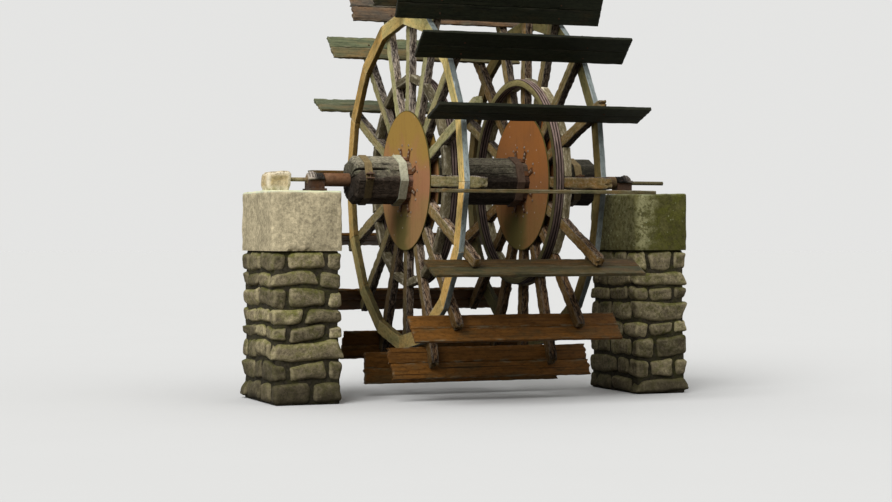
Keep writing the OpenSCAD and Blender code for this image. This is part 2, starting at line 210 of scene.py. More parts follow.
class Recipe:
    """Shader nodes, added to one tree by short calls."""

    def __init__(self, tree):
        self.tree = tree

    def feed(self, socket, value):
        if isinstance(value, NodeSocket):
            self.tree.links.new(value, socket)
        elif socket.type == "RGBA" and len(value) == 3:
            socket.default_value = (*value, 1)
        else:
            socket.default_value = value

    def add(self, kind, inputs=(), **settings):
        node = self.tree.nodes.new("ShaderNode" + kind)
        for key, value in settings.items():
            setattr(node, key, value)
        for key, value in dict(inputs).items():
            self.feed(node.inputs[key], value)
        return node

    def place(self):
        return self.add("TexCoord").outputs["Object"]

    def from_axle(self):
        """The place as seen from the axle, and the distance from it."""
        place = self.stretch(self.place(), move=tuple(-AXLE))
        flat = self.stretch(place, (0, 1, 1))
        return place, self.add("VectorMath", {0: flat}, operation="LENGTH").outputs["Value"]

    def attribute(self, name, output="Fac"):
        return self.add("Attribute", attribute_name=name).outputs[output]

    def axis(self, coords, name):
        return self.add("SeparateXYZ", {"Vector": coords}).outputs[name]

    def stretch(self, coords, scale=(1, 1, 1), move=(0, 0, 0), turn=(0, 0, 0)):
        inputs = {"Vector": coords, "Scale": scale, "Location": move, "Rotation": turn}
        return self.add("Mapping", inputs).outputs["Vector"]

    def noise(self, coords, scale, detail=5.0, rough=0.6, bend=0.0):
        stretched = self.stretch(coords, scale if isinstance(scale, tuple) else (scale,) * 3)
        inputs = {
            "Vector": stretched, "Scale": 1.0, "Detail": detail, "Roughness": rough,
            "Distortion": bend,
        }
        return self.add("TexNoise", inputs).outputs["Fac"]

    def cells(self, coords, scale):
        inputs = {"Vector": coords, "Scale": scale}
        return self.add("TexVoronoi", inputs).outputs["Distance"]

    def span(self, value, low, high, start=0.0, end=1.0):
        """Maps a value's range to another, held at its ends."""
        inputs = {
            "Value": value, "From Min": low, "From Max": high, "To Min": start, "To Max": end,
        }
        return self.add("MapRange", inputs).outputs["Result"]

    def maths(self, operation, *values):
        return self.add("Math", dict(enumerate(values)), operation=operation).outputs[0]

    def plus(self, first, second):
        return self.maths("ADD", first, second)

    def minus(self, first, second):
        return self.maths("SUBTRACT", first, second)

    def times(self, product, *factors):
        for factor in factors:
            product = self.maths("MULTIPLY", product, factor)
        return product

    def waver(self, value, reach):
        """Lets a noise swing about zero."""
        return self.times(self.minus(value, 0.5), reach)

    def mix(self, share, first, second, mode="MIX"):
        inputs = {0: share, 6: first, 7: second}
        return self.add("Mix", inputs, data_type="RGBA", blend_type=mode).outputs[2]

    def scaled(self, tint, value):
        """A colour times a number."""
        return self.add("VectorMath", {0: tint, "Scale": value}, operation="SCALE").outputs[0]


class Finish(Recipe):
    """The recipe of one material: a base colour, with others laid over it in turn."""

    def __init__(self, name, base, specular=0.08):
        self.material = bpy.data.materials.new(name)
        self.material.use_nodes = True
        super().__init__(self.material.node_tree)
        self.base = base
        self.shader = self.tree.nodes["Principled BSDF"]
        self.shader.inputs["Specular IOR Level"].default_value = specular

    def lay(self, tint, share, *ends):
        """Lays a colour over the base, by a share or by a value that spans some ends."""
        self.base = self.mix(self.span(share, *ends) if ends else share, self.base, tint)

    def dim(self, share, *ends):
        """Darkens or lightens the base, by a share or by a value that spans some ends."""
        self.base = self.scaled(self.base, self.span(share, *ends) if ends else share)

    def done(self, roughness, height, distance):
        bump = self.add("Bump", {"Height": height, "Distance": distance, "Strength": 1.0})
        self.feed(self.shader.inputs["Base Color"], self.base)
        self.feed(self.shader.inputs["Roughness"], roughness)
        self.feed(self.shader.inputs["Normal"], bump.outputs["Normal"])
        return self.material


class StoneFinish(Finish):
    """What stone and concrete share: a clouded base, grit, and moss that grows over them."""

    def __init__(self, name, pale, dark, scales, bend):
        super().__init__(name, dark)
        cloud, grit, growth, fuzz = scales
        self.at = self.place()
        self.facing = self.axis(self.add("NewGeometry").outputs["Normal"], "Z")
        self.cloud = self.noise(self.at, cloud, 6, 0.65, 0.5)
        self.grit = self.noise(self.at, grit, 6, 0.8)
        self.growth = self.noise(self.at, growth, 8, 0.75, bend)
        self.fuzz = self.noise(self.at, fuzz, 5, 0.8)
        self.lay(pale, self.cloud, 0.35, 0.65)

    def grow(self, moss, mossy, dark_share, pale_share):
        """Lays fuzzy moss over the base."""
        dark, pale = shade(moss, dark_share), shade(moss, pale_share)
        self.lay(self.mix(self.span(self.fuzz, 0.35, 0.65), dark, pale), mossy)

    def rough(self, mossy, low, high, relief):
        """Ends the recipe with the relief of the grain and the moss."""
        height = self.plus(self.times(self.cloud, 3.0), self.grit)
        height = self.plus(height, self.times(mossy, self.fuzz))
        return self.done(self.span(self.grit, 0.3, 0.7, low, high), height, relief)


def shade(tint, share):
    """A colour made darker or lighter, as plain numbers."""
    return tuple(min(1.0, part * share) for part in tint)


def timber(name, cool, warm, worn, streaks=0.6, cracks=0.8, relief=0.002, wet=0.0, bleach=0.2):
    """Sawn timber: fibres and streaks along the grain, open checks with painted shade in them, stains
    and worn edges.
    """
    coat = Finish(name, cool)
    grain = coat.attribute("grain", "Vector")
    fibre = coat.noise(grain, (14, 170, 170), 3)
    streak = coat.noise(grain, (1.8, 44, 44), 6, 0.7)
    mottle = coat.noise(grain, (20, 42, 42), 6, 0.8)
    cloud = coat.noise(grain, (3.5, 9, 9), 5, 0.65, 0.4)
    check = coat.noise(grain, (1.1, 75, 75), 2, 0.5, 0.3)
    patch = coat.noise(grain, (6, 20, 20), 4, 0.7)
    wavering = coat.maths("MULTIPLY_ADD", cloud, 1.6, -0.8)
    coat.lay(warm, coat.plus(coat.attribute("tint"), wavering), 0, 1)
    dark = coat.scaled(coat.base, 0.26)
    coat.lay(dark, streak, 0.44, 0.66, 0, streaks)
    coat.lay(dark, fibre, 0.35, 0.7, 0, 0.15 + 0.4 * streaks)
    coat.dim(cloud, 0.32, 0.68, 0.7, 1.2)
    coat.lay(worn, mottle, 0.52, 0.6, 0, bleach)
    coat.lay(dark, mottle, 0.48, 0.4, 0, 0.55)
    open_check = coat.span(check, 0.66, 0.71, 0, cracks)
    # Painted shade in the open checks
    coat.lay(shade(warm, 0.08), open_check)
    coat.lay(worn, coat.times(coat.attribute("wear"), coat.span(patch, 0.5, 0.64)))
    coat.dim(coat.attribute("tone"))
    height = coat.maths("MULTIPLY_ADD", open_check, -1.0, coat.plus(fibre, streak))
    return coat.done(coat.span(cloud, 0.3, 0.7, 0.86 - wet, 0.7 - wet), height, relief)


def bark(name, pale, dark):
    """Rough waney timber: long torn plates with pale raised fibres."""
    coat = Finish(name, dark)
    grain = coat.attribute("grain", "Vector")
    plate = coat.noise(grain, (6, 38, 38), 6, 0.8, 0.8)
    torn = coat.noise(grain, (20, 75, 75), 5, 0.8)
    cloud = coat.noise(grain, (3, 8, 8), 4)
    coat.lay(pale, plate, 0.46, 0.55)
    coat.lay(shade(pale, 1.7), torn, 0.52, 0.58, 0, 0.85)
    coat.lay(shade(dark, 0.6), torn, 0.48, 0.42, 0, 0.9)
    for value, low, high, first, second in (
        (cloud, 0.35, 0.65, (1.0, 0.90, 0.80), (0.94, 0.94, 1.0)),
        (coat.attribute("tint"), 0.45, 1.1, (1.0, 1.0, 1.0), (1.04, 0.72, 0.44)),
    ):
        warmth = coat.mix(coat.span(value, low, high), first, second)
        coat.base = coat.mix(1.0, coat.base, warmth, "MULTIPLY")
    coat.lay(shade(pale, 1.5), coat.times(coat.attribute("wear"), coat.span(torn, 0.44, 0.52), 0.75))
    coat.dim(coat.attribute("tone"))
    height = coat.plus(plate, coat.times(torn, 0.4))
    return coat.done(coat.span(plate, 0.3, 0.7, 0.95, 0.75), height, 0.012)


def ribbed_timber(crest, groove):
    """Weathered ribs: pale on their crests, partly as a painted highlight, and nearly black between
    them as painted shade.
    """
    coat = Finish("hoop_ribs", groove)
    grain = coat.attribute("grain", "Vector")
    cloud = coat.noise(grain, (4, 12, 40), 5, 0.7, 0.5)
    fibre = coat.noise(grain, (10, 200, 200), 4, 0.7)
    # Painted highlight on the crests, partly weathering
    coat.lay(crest, coat.plus(coat.attribute("wear"), coat.waver(cloud, 1.1)), 0.3, 0.85)
    coat.lay(shade(groove, 1.5), fibre, 0.45, 0.65, 0, 0.6)
    coat.dim(cloud, 0.3, 0.7, 0.7, 1.4)
    coat.dim(coat.attribute("tone"))
    return coat.done(coat.span(cloud, 0.3, 0.7, 0.9, 0.75), coat.plus(fibre, cloud), 0.003)


def shaft_timber(colours):
    """The shaft's old timber: pale and lichened on top, wet and painted in shade below, rusty by the
    cleats, and with painted shade in its cracks.
    """
    coat = Finish("shaft_timber", shade(colours.shaft_top, 0.5))
    grain = coat.attribute("grain", "Vector")
    up = coat.minus(coat.axis(coat.place(), "Z"), AXLE.z)
    fibre = coat.noise(grain, (12, 240, 240), 4)
    streak = coat.noise(grain, (1.6, 38, 38), 6, 0.7)
    cloud = coat.noise(grain, (4, 11, 11), 5, 0.65, 0.4)
    check = coat.noise(grain, (1.3, 60, 60), 2, 0.5, 0.3)
    grit = coat.noise(grain, (32, 48, 48), 6, 0.8)
    lichen = coat.noise(grain, (14, 18, 18), 7, 0.8, 0.6)
    height = coat.plus(up, coat.waver(cloud, 0.3))
    coat.lay(colours.shaft_top, height, 0.09, 0.19)
    # Painted shade, with wetness, on the lower facets
    coat.lay(colours.shaft_low_shade, height, 0.07, 0.03)
    for value, low, high, share, level in (
        (streak, 0.42, 0.7, 0.55, 0.35),
        (fibre, 0.3, 0.75, 0.25, 0.4),
        (grit, 0.51, 0.58, 0.8, 0.35),
        (grit, 0.47, 0.41, 0.7, 1.9),
    ):
        coat.lay(coat.scaled(coat.base, level), value, low, high, 0, share)
    patch = coat.times(coat.span(lichen, 0.53, 0.6), coat.span(up, 0.02, 0.1), 0.45)
    coat.lay(colours.shaft_lichen, patch)
    stain = coat.times(coat.attribute("tint"), coat.span(cloud, 0.3, 0.6), 0.9)
    coat.lay(colours.shaft_stain, stain)
    # Painted shade in the open cracks
    crack = coat.span(check, 0.65, 0.7, 0, 0.9)
    coat.lay(colours.shaft_crack_shade, crack)
    coat.dim(coat.attribute("tone"))
    relief = coat.minus(coat.minus(coat.plus(fibre, streak), crack), grit)
    return coat.done(coat.span(cloud, 0.3, 0.7, 0.92, 0.78), relief, 0.004)


def rusty(name, main, second, dark, mottling=1.0, below=1.0, rod=None, toned=False):
    """Rusted iron: two rust tones in clouds, fine pitting, dark run-off, and painted shade below about
    the axle's height.

    A rod tint colours what lies close around the axle, and a toned finish follows the tone layer.
    """
    coat = Finish(name, main)
    place = coat.place()
    if rod:
        coat.lay(rod, coat.from_axle()[1], 0.05, 0.045)
    cloud = coat.noise(place, 5, 5, 0.6, 0.5)
    mottle = coat.noise(place, 46, 6, 0.7)
    pit = coat.noise(place, 260, 3)
    runs = coat.noise(place, (30, 30, 3), 4, 0.6)
    coat.lay(second, cloud, 0.35, 0.65)
    coat.lay(dark, runs, 0.5, 0.75, 0, 0.45)
    coat.lay(dark, mottle, 0.5, 0.75, 0, 0.7 * mottling)
    coat.dim(pit, 0.3, 0.7, 0.82, 1.16)
    # Painted shade on the undersides: below about the axle's height the colour is dimmed to the below
    # share
    level = coat.maths("MULTIPLY_ADD", cloud, 0.12, coat.axis(place, "Z"))
    coat.dim(level, AXLE.z + 0.02, AXLE.z + 0.14, below, 1)
    if toned:
        coat.dim(coat.attribute("tone"))
    height = coat.plus(coat.times(mottle, 2.0), pit)
    return coat.done(coat.span(mottle, 0.35, 0.7, 0.6, 0.85), height, 0.0012)


def disc_steel(name, radius, upper, middle, low, low_share, specks):
    """A rusted disc: smooth broad tones, a run-off below the shaft and a dark rim."""
    coat = Finish(name, upper, specular=0.02)
    place, reach = coat.from_axle()
    up = coat.axis(place, "Z")
    cloud = coat.noise(place, 2.6, 5, 0.55, 0.6)
    runs = coat.noise(place, (18, 18, 1.3), 5, 0.6)
    mottle = coat.noise(place, 30, 6, 0.7)
    pit = coat.noise(place, 210, 3)
    waver = coat.waver(cloud, 1.3)
    level = coat.plus(up, waver)
    coat.lay(middle, level, 0.45, 0.0)
    coat.lay(shade(low, 1.8), coat.times(coat.span(level, -0.1, -0.5), low_share))
    aside = coat.maths("ABSOLUTE", coat.minus(coat.axis(place, "Y"), 0.1))
    aside = coat.plus(aside, coat.times(waver, 0.35))
    coat.lay(low, coat.times(coat.span(aside, 0.3, 0.1), coat.span(up, -0.22, -0.36)))
    coat.lay(shade(middle, 0.45), runs, 0.52, 0.78, 0, 0.34)
    coat.lay(shade(middle, 0.5), mottle, 0.55, 0.8, 0, 0.4)
    coat.dim(pit, 0.3, 0.7, 0.93, 1.07)
    coat.lay(specks, coat.cells(coat.stretch(place, (0.2, 1, 1)), 9.0), 0.085, 0.06, 0, 0.7)
    coat.lay(shade(low, 0.6), reach, radius - 0.011, radius - 0.003)
    height = coat.plus(mottle, coat.times(pit, 0.5))
    return coat.done(coat.span(mottle, 0.3, 0.7, 0.7, 0.9), height, 0.001)


def masonry(name, pale, dark, moss, moss_share, damp=0.0, contrast=0.5):
    """Stone: clouded grain, pits, damp at the foot and moss on what faces up."""
    coat = StoneFinish(name, pale, dark, (5.5, 34, 9, 55), 0.8)
    coat.lay(shade(dark, 1.5), coat.attribute("tint"), 0, 1)
    coat.dim(coat.grit, 0.38, 0.62, 1 - 1.1 * contrast, 1 + contrast)
    coat.lay(shade(dark, 0.4), coat.cells(coat.at, 40.0), 0.16, 0.06, 0, 0.5)
    coat.lay(shade(pale, 1.25), coat.attribute("wear"))
    ledge = coat.times(coat.span(coat.facing, 0.0, 0.8), 0.16)
    mossy = coat.span(coat.plus(coat.growth, ledge), 0.62 - 0.2 * moss_share, 0.7)
    coat.grow(moss, coat.times(mossy, 0.85), 0.45, 1.7)
    level = coat.plus(coat.axis(coat.at, "Z"), coat.times(coat.cloud, 0.5))
    coat.lay(shade(dark, 0.35), level, 0.25, 0.9, damp, 0)
    coat.dim(coat.attribute("tone"))
    return coat.rough(mossy, 0.95, 0.8, 0.005)


def concrete(name, stones, pale, dark, low, high, wet):
    """Old concrete: broad stains, a worn rim, and growth on top and away from the wheel."""
    coat = StoneFinish(name, pale, dark, (4.5, 30, 8, 50), 0.7)
    growth = coat.growth
    coat.lay(shade(dark, 0.55), coat.noise(coat.at, (22, 22, 2.5), 5, 0.65), 0.5, 0.75, 0, 0.5)
    coat.dim(coat.grit, 0.38, 0.62, 0.62, 1.35)
    coat.lay(shade(dark, 0.4), coat.cells(coat.at, 42.0), 0.14, 0.05, 0, 0.6)
    if wet:
        x = coat.axis(coat.at, "X")
        near = coat.span(coat.plus(x, coat.times(growth, 0.4)), low.x + 0.48, low.x + 0.3)
        off_face = coat.plus(x, coat.times(growth, 0.12))
        off_face = coat.span(off_face, low.x + 0.04, low.x + 0.12, 0.15, 1)
        mottled = coat.span(coat.noise(coat.at, 20, 6, 0.8), 0.44, 0.54, 0.1, 1)
        coat.lay(stones.patch, coat.times(near, off_face, mottled, 0.9))
        mossy = coat.times(coat.span(growth, 0.44, 0.58), coat.span(near, 1, 0))
        speck = coat.cells(coat.stretch(coat.at, turn=(0.5, 0.3, 0.2)), 17.0)
        spotted = coat.times(coat.span(speck, 0.16, 0.1), coat.span(growth, 0.42, 0.55), 0.8)
        coat.lay(stones.lichen, spotted)
    else:
        mossy = coat.span(growth, 0.6, 0.7, 0, 0.5)
        level = coat.plus(coat.axis(coat.at, "Z"), coat.times(growth, 0.05))
        crown = coat.span(level, high.z - 0.005, high.z + 0.005)
        coat.lay(stones.crown, coat.times(crown, 0.8))
    top = coat.times(coat.span(coat.facing, 0.2, 0.7), coat.span(growth, 0.35, 0.5), 0.7)
    coat.lay(shade(stones.lichen, 0.6 if wet else 1.1), top)
    coat.grow(stones.moss, coat.times(mossy, 0.8), 0.5, 1.5)
    rim = coat.times(coat.attribute("wear"), coat.span(coat.cloud, 0.4, 0.6), 0.45)
    coat.lay(shade(pale, 1.3), rim)
    return coat.rough(mossy, 0.92, 0.78, 0.004)


def new_group():
    """An empty mesh in edit form, with the layers that the finishes read."""
    group = bmesh.new()
    for name in LAYERS:
        group.verts.layers.float.new(name)
    group.verts.layers.float_vector.new("grain")
    return group


def layers(bm):
    """The layers of a mesh's points: tone, tint, wear and grain."""
    return [bm.verts.layers.float[name] for name in LAYERS] + [bm.verts.layers.float_vector["grain"]]


def held(value, low=0.0, high=1.0):
    """A value kept between two others."""
    return max(low, min(high, value))


def split(bm, axis, cuts):
    """Cuts each edge that runs along one axis into equal lengths."""
    if cuts:
        along = [e for e in bm.edges
                 if abs((e.verts[1].co - e.verts[0].co).normalized()[axis]) > 0.999]
        bmesh.ops.subdivide_edges(bm, edges=along, cuts=cuts, use_grid_fill=True)


def block(dims, cuts, bevel, segments=1):
    """A bevelled block around the origin, cut into a grid."""
    bm = new_group()
    bmesh.ops.create_cube(bm, size=1)
    bmesh.ops.scale(bm, vec=dims, verts=bm.verts)
    bmesh.ops.bevel(bm, geom=bm.edges[:], offset=bevel, segments=segments, profile=0.5,
                    affect="EDGES", material=-1)
    for axis, count in enumerate(cuts):
        split(bm, axis, count)
    return bm


def weather(bm, dims, depth, chips, scale, seed, tone=1.0, tint=0.5, edge_reach=0.02):
    """Eats into a block's faces and edges, and writes the layers that its finish reads."""
    tones, tints, wears, grains = layers(bm)
    half = Vector(dims) / 2
    shift = Vector((seed * 1.37 % 50, seed * 2.11 % 50, seed * 0.73 % 50))
    for vert in bm.verts:
        spot = Vector(vert.co)
        gaps = sorted(half[i] - abs(spot[i]) for i in range(3))
        edge = max(0.0, 1 - gaps[1] / edge_reach)
        at = Vector(spot[i] * scale[i] for i in range(3)) + shift
        swell = noise.noise_vector(at)
        chip = chips * edge * max(0.0, 0.25 + noise.noise(at * 4))
        vert[grains] = spot + shift
        vert[wears] = edge
        vert[tones] = tone
        vert[tints] = tint
        for i in range(3):
            hollow = depth[i] * held(0.4 + swell[i])
            vert.co[i] = spot[i] * (1 - (hollow + chip) / half[i])


def append(group, bm, place):
    """Moves a shape to its place and adds it to a group."""
    bmesh.ops.transform(bm, matrix=place, verts=bm.verts)
    scrap = bpy.data.meshes.new("scrap")
    bm.to_mesh(scrap)
    bm.free()
    group.from_mesh(scrap)
    bpy.data.meshes.remove(scrap)


def piece(name, bm, finishes, body, nodes=(), crease=35):
    """Turns a finished group into a piece that rides on a body and stands for its nodes."""
    mesh = bpy.data.meshes.new(name)
    bm.to_mesh(mesh)
    bm.free()
    mesh.shade_smooth()
    mesh.set_sharp_from_angle(angle=math.radians(crease))
    for finish in finishes:
        mesh.materials.append(finish)
    made = bpy.data.objects.new(name, mesh)
    bpy.context.scene.collection.objects.link(made)
    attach(made, body)
    if nodes:
        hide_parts(*nodes)


def dress(node, finish):
    """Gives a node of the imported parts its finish."""
    materials = frame["nodes"][node].data.materials
    materials.clear()
    materials.append(finish)


def directions(angle):
    """Outwards and onwards from the shaft, at an angle measured upwards from the front."""
    out = Vector((0, -math.cos(angle), math.sin(angle)))
    turn = Vector((0, math.sin(angle), math.cos(angle)))
    return out, turn


def from_shaft(x, out=UP, reach=0.0):
    """A point at a place along the shaft and a distance from the axle."""
    return AXLE + ALONG * x + out * reach


def axes(first, second, origin):
    """A placing whose X and Y follow two directions."""
    third = first.cross(second)
    return Matrix.Translation(origin) @ Matrix((first, second, third)).transposed().to_4x4()


def facing(direction, origin):
    """A placing whose Z follows a direction."""
    turn = direction.to_track_quat("Z", "Y").to_matrix().to_4x4()
    return Matrix.Translation(origin) @ turn


def closed_outline(bm, points):
    """Adds points and joins them in turn, back to the first."""
    rim = [bm.verts.new(point) for point in points]
    for first, second in zip(rim, rim[1:] + rim[:1]):
        bm.edges.new((first, second))
    return rim


def bolt(group, place, radius, washer=True):
    """A six-sided head on a round washer, with its axis along the placing's Z."""
    # Sides, width, and lower and upper end of the washer and the head, in radii of the head
    parts = ((12, 1.7, 0.0, 0.22), (6, 1.0, 0.22, 0.95))
    taper = 0.94
    for sides, wide, low, high in parts if washer else parts[1:]:
        bm = new_group()
        bmesh.ops.create_cone(bm, cap_ends=True, segments=sides, radius1=radius * wide,
                              radius2=radius * wide * taper, depth=radius * (high - low))
        bmesh.ops.translate(bm, vec=(0, 0, radius * (high + low) / 2), verts=bm.verts)
        append(group, bm, place)


def wetness(z):
    """How wet a timber stays at a height: 1 at the wheel's foot and 0 from the shaft upwards."""
    return held((DRY_ABOVE - z) / (DRY_ABOVE - SOAKED_BELOW))


def stage_rays(recipe):
    """1 for the rays that show the stage itself, 0 for those that carry its light."""
    rays = recipe.add("LightPath").outputs
    either = recipe.maths("MAXIMUM", rays["Is Camera Ray"], rays["Is Glossy Ray"])
    return recipe.maths("MAXIMUM", either, rays["Is Transmission Ray"])


def studio_floor(settings):
    """A wide floor in one even shade."""
    bm = bmesh.new()
    bmesh.ops.create_circle(bm, cap_ends=True, segments=64, radius=220)
    mesh = bpy.data.meshes.new("studio_floor")
    bm.to_mesh(mesh)
    bm.free()
    coat = Finish("studio_floor", settings.bounce, specular=0.0)
    coat.lay(settings.floor, stage_rays(coat))
    grey = coat.noise(coat.place(), 0.7, 2)
    coat.dim(grey, 0, 1, 0.99, 1.01)
    mesh.materials.append(coat.done(0.9, grey, 0.0001))
    floor = bpy.data.objects.new("studio_floor", mesh)
    bpy.context.scene.collection.objects.link(floor)


def studio_world(scene, settings):
    """Soft light that grows towards the zenith, behind an even backdrop."""
    scene.world = bpy.data.worlds.new("studio")
    scene.world.use_nodes = True
    recipe = Recipe(scene.world.node_tree)
    background = recipe.tree.nodes["Background"]
    height = recipe.axis(recipe.add("TexCoord").outputs["Generated"], "Z")
    light = recipe.mix(recipe.span(height, 0.0, 0.75), settings.horizon, settings.zenith)
    light = recipe.scaled(light, settings.sky)
    shown = recipe.mix(stage_rays(recipe), light, settings.backdrop)
    recipe.feed(background.inputs["Color"], shown)
    scene.view_settings.view_transform = "Standard"


class WATERWHEEL_OT_stage(Operator):
    """Adds the floor, the lights and the camera"""

    bl_idname = "waterwheel.stage"
    bl_label = "Stage"

    def execute(self, context):
        settings = context.scene.stage_settings
        studio_floor(settings)
        studio_world(context.scene, settings)
        for name, (aim, share, spread) in LAMPS.items():
            lamp = bpy.data.lights.new(name, "SUN")
            lamp.energy = settings.sun * share
            lamp.angle = math.radians(spread)
            holder = bpy.data.objects.new(name, lamp)
            holder.rotation_euler = Vector(aim).to_track_quat("-Z", "Y").to_euler()
            context.scene.collection.objects.link(holder)
        lens = bpy.data.cameras.new("camera")
        lens.lens = settings.lens
        lens.clip_end = 500
        camera = bpy.data.objects.new("camera", lens)
        camera.location = CAMERA_PLACE
        camera.rotation_euler = Vector(CAMERA_LOOK).to_track_quat("-Z", "Y").to_euler()
        context.scene.collection.objects.link(camera)
        context.scene.camera = camera
        return {"FINISHED"}


def add_arm(group, sizes, x, thickness, index, sign):
    """One arm, mitred at its root and torn at its tip."""
    seed = 40 + index * 3 + sign
    rng = random.Random(seed)
    length = sizes.arm_tip - sizes.arm_root
    dims = (length, sizes.arm_width, thickness)
    tip_reach = 0.09
    bark_depth = 0.018
    bm = block(dims, (60, 5, 2), 0.005)
    for face in bm.faces:
        face.material_index = 1 if abs(face.normal.y) > TURNED else 0
    out, turn = directions(WHEEL_TURN + index * PITCH)
    place = axes(out, turn, from_shaft(x, out, sizes.arm_root + length / 2))
    weather(bm, dims, (0.01, 0.009, 0.0015), 0.009, (5, 12, 12), seed, 1.0, 0.5, 0.016)
    tones, tints = layers(bm)[:2]
    # Painted light and shade: the left arms are lighter towards the top and darker towards the foot,
    # and the right arms are dimmed
    tone = rng.uniform(0.8, 1.2) * (1.0 + 0.3 * out.z if sign < 0 else 0.85)
    tint = rng.uniform(0.15, 0.6) - 0.3 * out.z + (0.5 if sign > 0 else 0)
    torn = rng.uniform(0.015, 0.05)
    lean = rng.uniform(-0.5, 0.5)
    at_front = out.y < -0.2
    # Lower arms are darker, partly for wetness and partly as painted shade, the more so behind the
    # front
    wet_and_shade, wet_tint = (0.5, 0.6) if at_front else (0.7, 0.1)
    under_shade = 0.65
    for vert in bm.verts:
        tip = max(0.0, 1 - (length / 2 - vert.co.x) / tip_reach)
        bite = 0.45 + lean * vert.co.y / (sizes.arm_width / 2)
        bite += 1.1 * noise.noise(Vector((vert.co.y * 34, vert.co.z * 22, seed)))
        vert.co.x -= torn * tip * max(0.0, bite)
        vert.co.y *= 1 - 0.3 * tip * tip * rng.uniform(0.4, 1)
        vert.co.z *= 1 - 0.12 * tip * tip
        radius = vert.co.x + sizes.arm_root + length / 2
        limit = max(0.0, radius * math.tan(PITCH / 2) - BUTT_GAP)
        vert.co.y = held(vert.co.y, -limit, limit)
        wet = wetness((place @ vert.co).z)
        vert[tones] = tone * (1 - wet_and_shade * wet) * (1 - 0.35 * tip)
        vert[tints] = tint + wet_tint * wet
        # Painted shade on the rough sides that face down
        if abs(vert.co.y) > min(sizes.arm_width / 2 - bark_depth, limit - 0.001):
            vert[tones] *= 1 - under_shade * max(0.0, -math.copysign(turn.z, vert.co.y))
    append(group, bm, place)


class WATERWHEEL_OT_arms(Operator):
    """Builds both sets of arms"""

    bl_idname = "waterwheel.arms"
    bl_label = "Arms"

    def execute(self, context):
        sizes = context.scene.wheel_sizes
        colours = context.scene.timber_colours
        planed = timber("arm_planed", colours.arm_cool, colours.arm_warm, colours.arm_worn,
                        streaks=0.5, bleach=0.5)
        for side, sign in SIDES.items():
            # The right arms' bark is painted in shade
            shaded = 1.0 if sign < 0 else 0.6
            rough = bark(side + "_arm_bark", shade(colours.bark_pale, shaded),
                         shade(colours.bark_dark, shaded))
            low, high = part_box(side + "_arms")
            group = new_group()
            for index in range(ARM_COUNT):
                add_arm(group, sizes, (low.x + high.x) / 2, high.x - low.x, index, sign)
            piece(side + "_arm_timbers", group, (planed, rough), "wheel",
                  [side + "_arms"])
        return {"FINISHED"}


def rim_painted_light(angle, sign):
    """Painted light and shade of a rim's length at its angle around the wheel, and how bare it is."""
    bare = 0.55 - 0.38 * math.cos(2 * (angle - math.radians(60)))
    # The right rim is painted in shade all round
    if sign > 0:
        return 0.3, bare - 0.3
    # The left rim is painted lighter at the front and at the upper back
    front = math.cos(angle + math.radians(12))
    back = max(0.0, math.cos(angle - math.radians(130)))
    return 1.2 * (0.72 + 0.38 * front + 0.36 * back), bare


def add_rim_length(group, sizes, x, thickness, index, sign):
    """One mitred length of a rim."""
    seed = 210 + index * 5 + sign
    rng = random.Random(seed)
    reach = math.cos(PITCH / 2)
    high = sizes.rim_radius * reach
    low = (sizes.rim_radius - sizes.rim_depth) * reach
    middle = (high + low) / 2
    length = 2 * high * math.tan(PITCH / 2)
    dims = (length, high - low, thickness)
    bm = block(dims, (18, 5, 2), 0.003)
    for face in bm.faces:
        outwards = face.normal.y
        # Faces turned inwards take the dark rim finish, painted shade on the rim's inner side
        face.material_index = 1 if outwards > TURNED else 2 if outwards < -TURNED else 0
    angle = WHEEL_TURN + (index + 0.5) * PITCH
    out, turn = directions(angle)
    place = axes(turn, out, from_shaft(x, out, middle))
    light, bare = rim_painted_light(angle, sign)
    # The rim's tone carries its painted light and shade
    tone = rng.uniform(0.92, 1.08) * light
    tint = rng.uniform(-0.12, 0.12) + bare
    weather(bm, dims, (0.0, 0.003, 0.0012), 0.003, (6, 14, 14), seed, tone, tint, 0.01)
    tones = layers(bm)[0]
    edge = high - 0.004
    # Painted shade on the left rim's outer edge at the upper front
    shaded_edge = sign < 0 and 0.5 < angle < 1.8
    for vert in bm.verts:
        radius = vert.co.y + middle
        vert.co.x *= (radius * math.tan(PITCH / 2) - BUTT_GAP / 2) / (length / 2)
        vert[tones] *= 1 - 0.45 * wetness((place @ vert.co).z)
        if shaded_edge and radius > edge:
            vert[tones] *= 0.45
    append(group, bm, place)


class WATERWHEEL_OT_rims(Operator):
    """Builds both rims from mitred lengths"""

    bl_idname = "waterwheel.rims"
    bl_label = "Rims"

    def execute(self, context):
        sizes = context.scene.wheel_sizes
        colours = context.scene.timber_colours
        warm = colours.rim_warm
        face = timber("rim_face", colours.rim_cool, warm, colours.rim_worn, streaks=0.15,
                      cracks=0.5, relief=0.0012)
        # Painted shade on the rims' inner faces: a darkened copy of the rim's colours
        under = timber("rim_inside_shade", shade(colours.rim_cool, 0.3), shade(warm, 0.3),
                       shade(warm, 0.6), streaks=0.4, relief=0.0012)
        for side, sign in SIDES.items():
            # The right rims' edges are lightened to offset the painted shade in the right rim's tone
            pale = shade(colours.rim_edge, 0.85 if sign < 0 else 2.2)
            edge = timber(side + "_rim_edge", pale, shade(pale, 0.8), shade(pale, 1.3),
                          streaks=0.3, cracks=0.6)
            low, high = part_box(side + "_rim")
            group = new_group()
            for index in range(ARM_COUNT):
                add_rim_length(group, sizes, (low.x + high.x) / 2, high.x - low.x, index, sign)
            piece(side + "_rim_boards", group, (face, edge, under), "wheel",
                  [side + "_rim"])
        return {"FINISHED"}


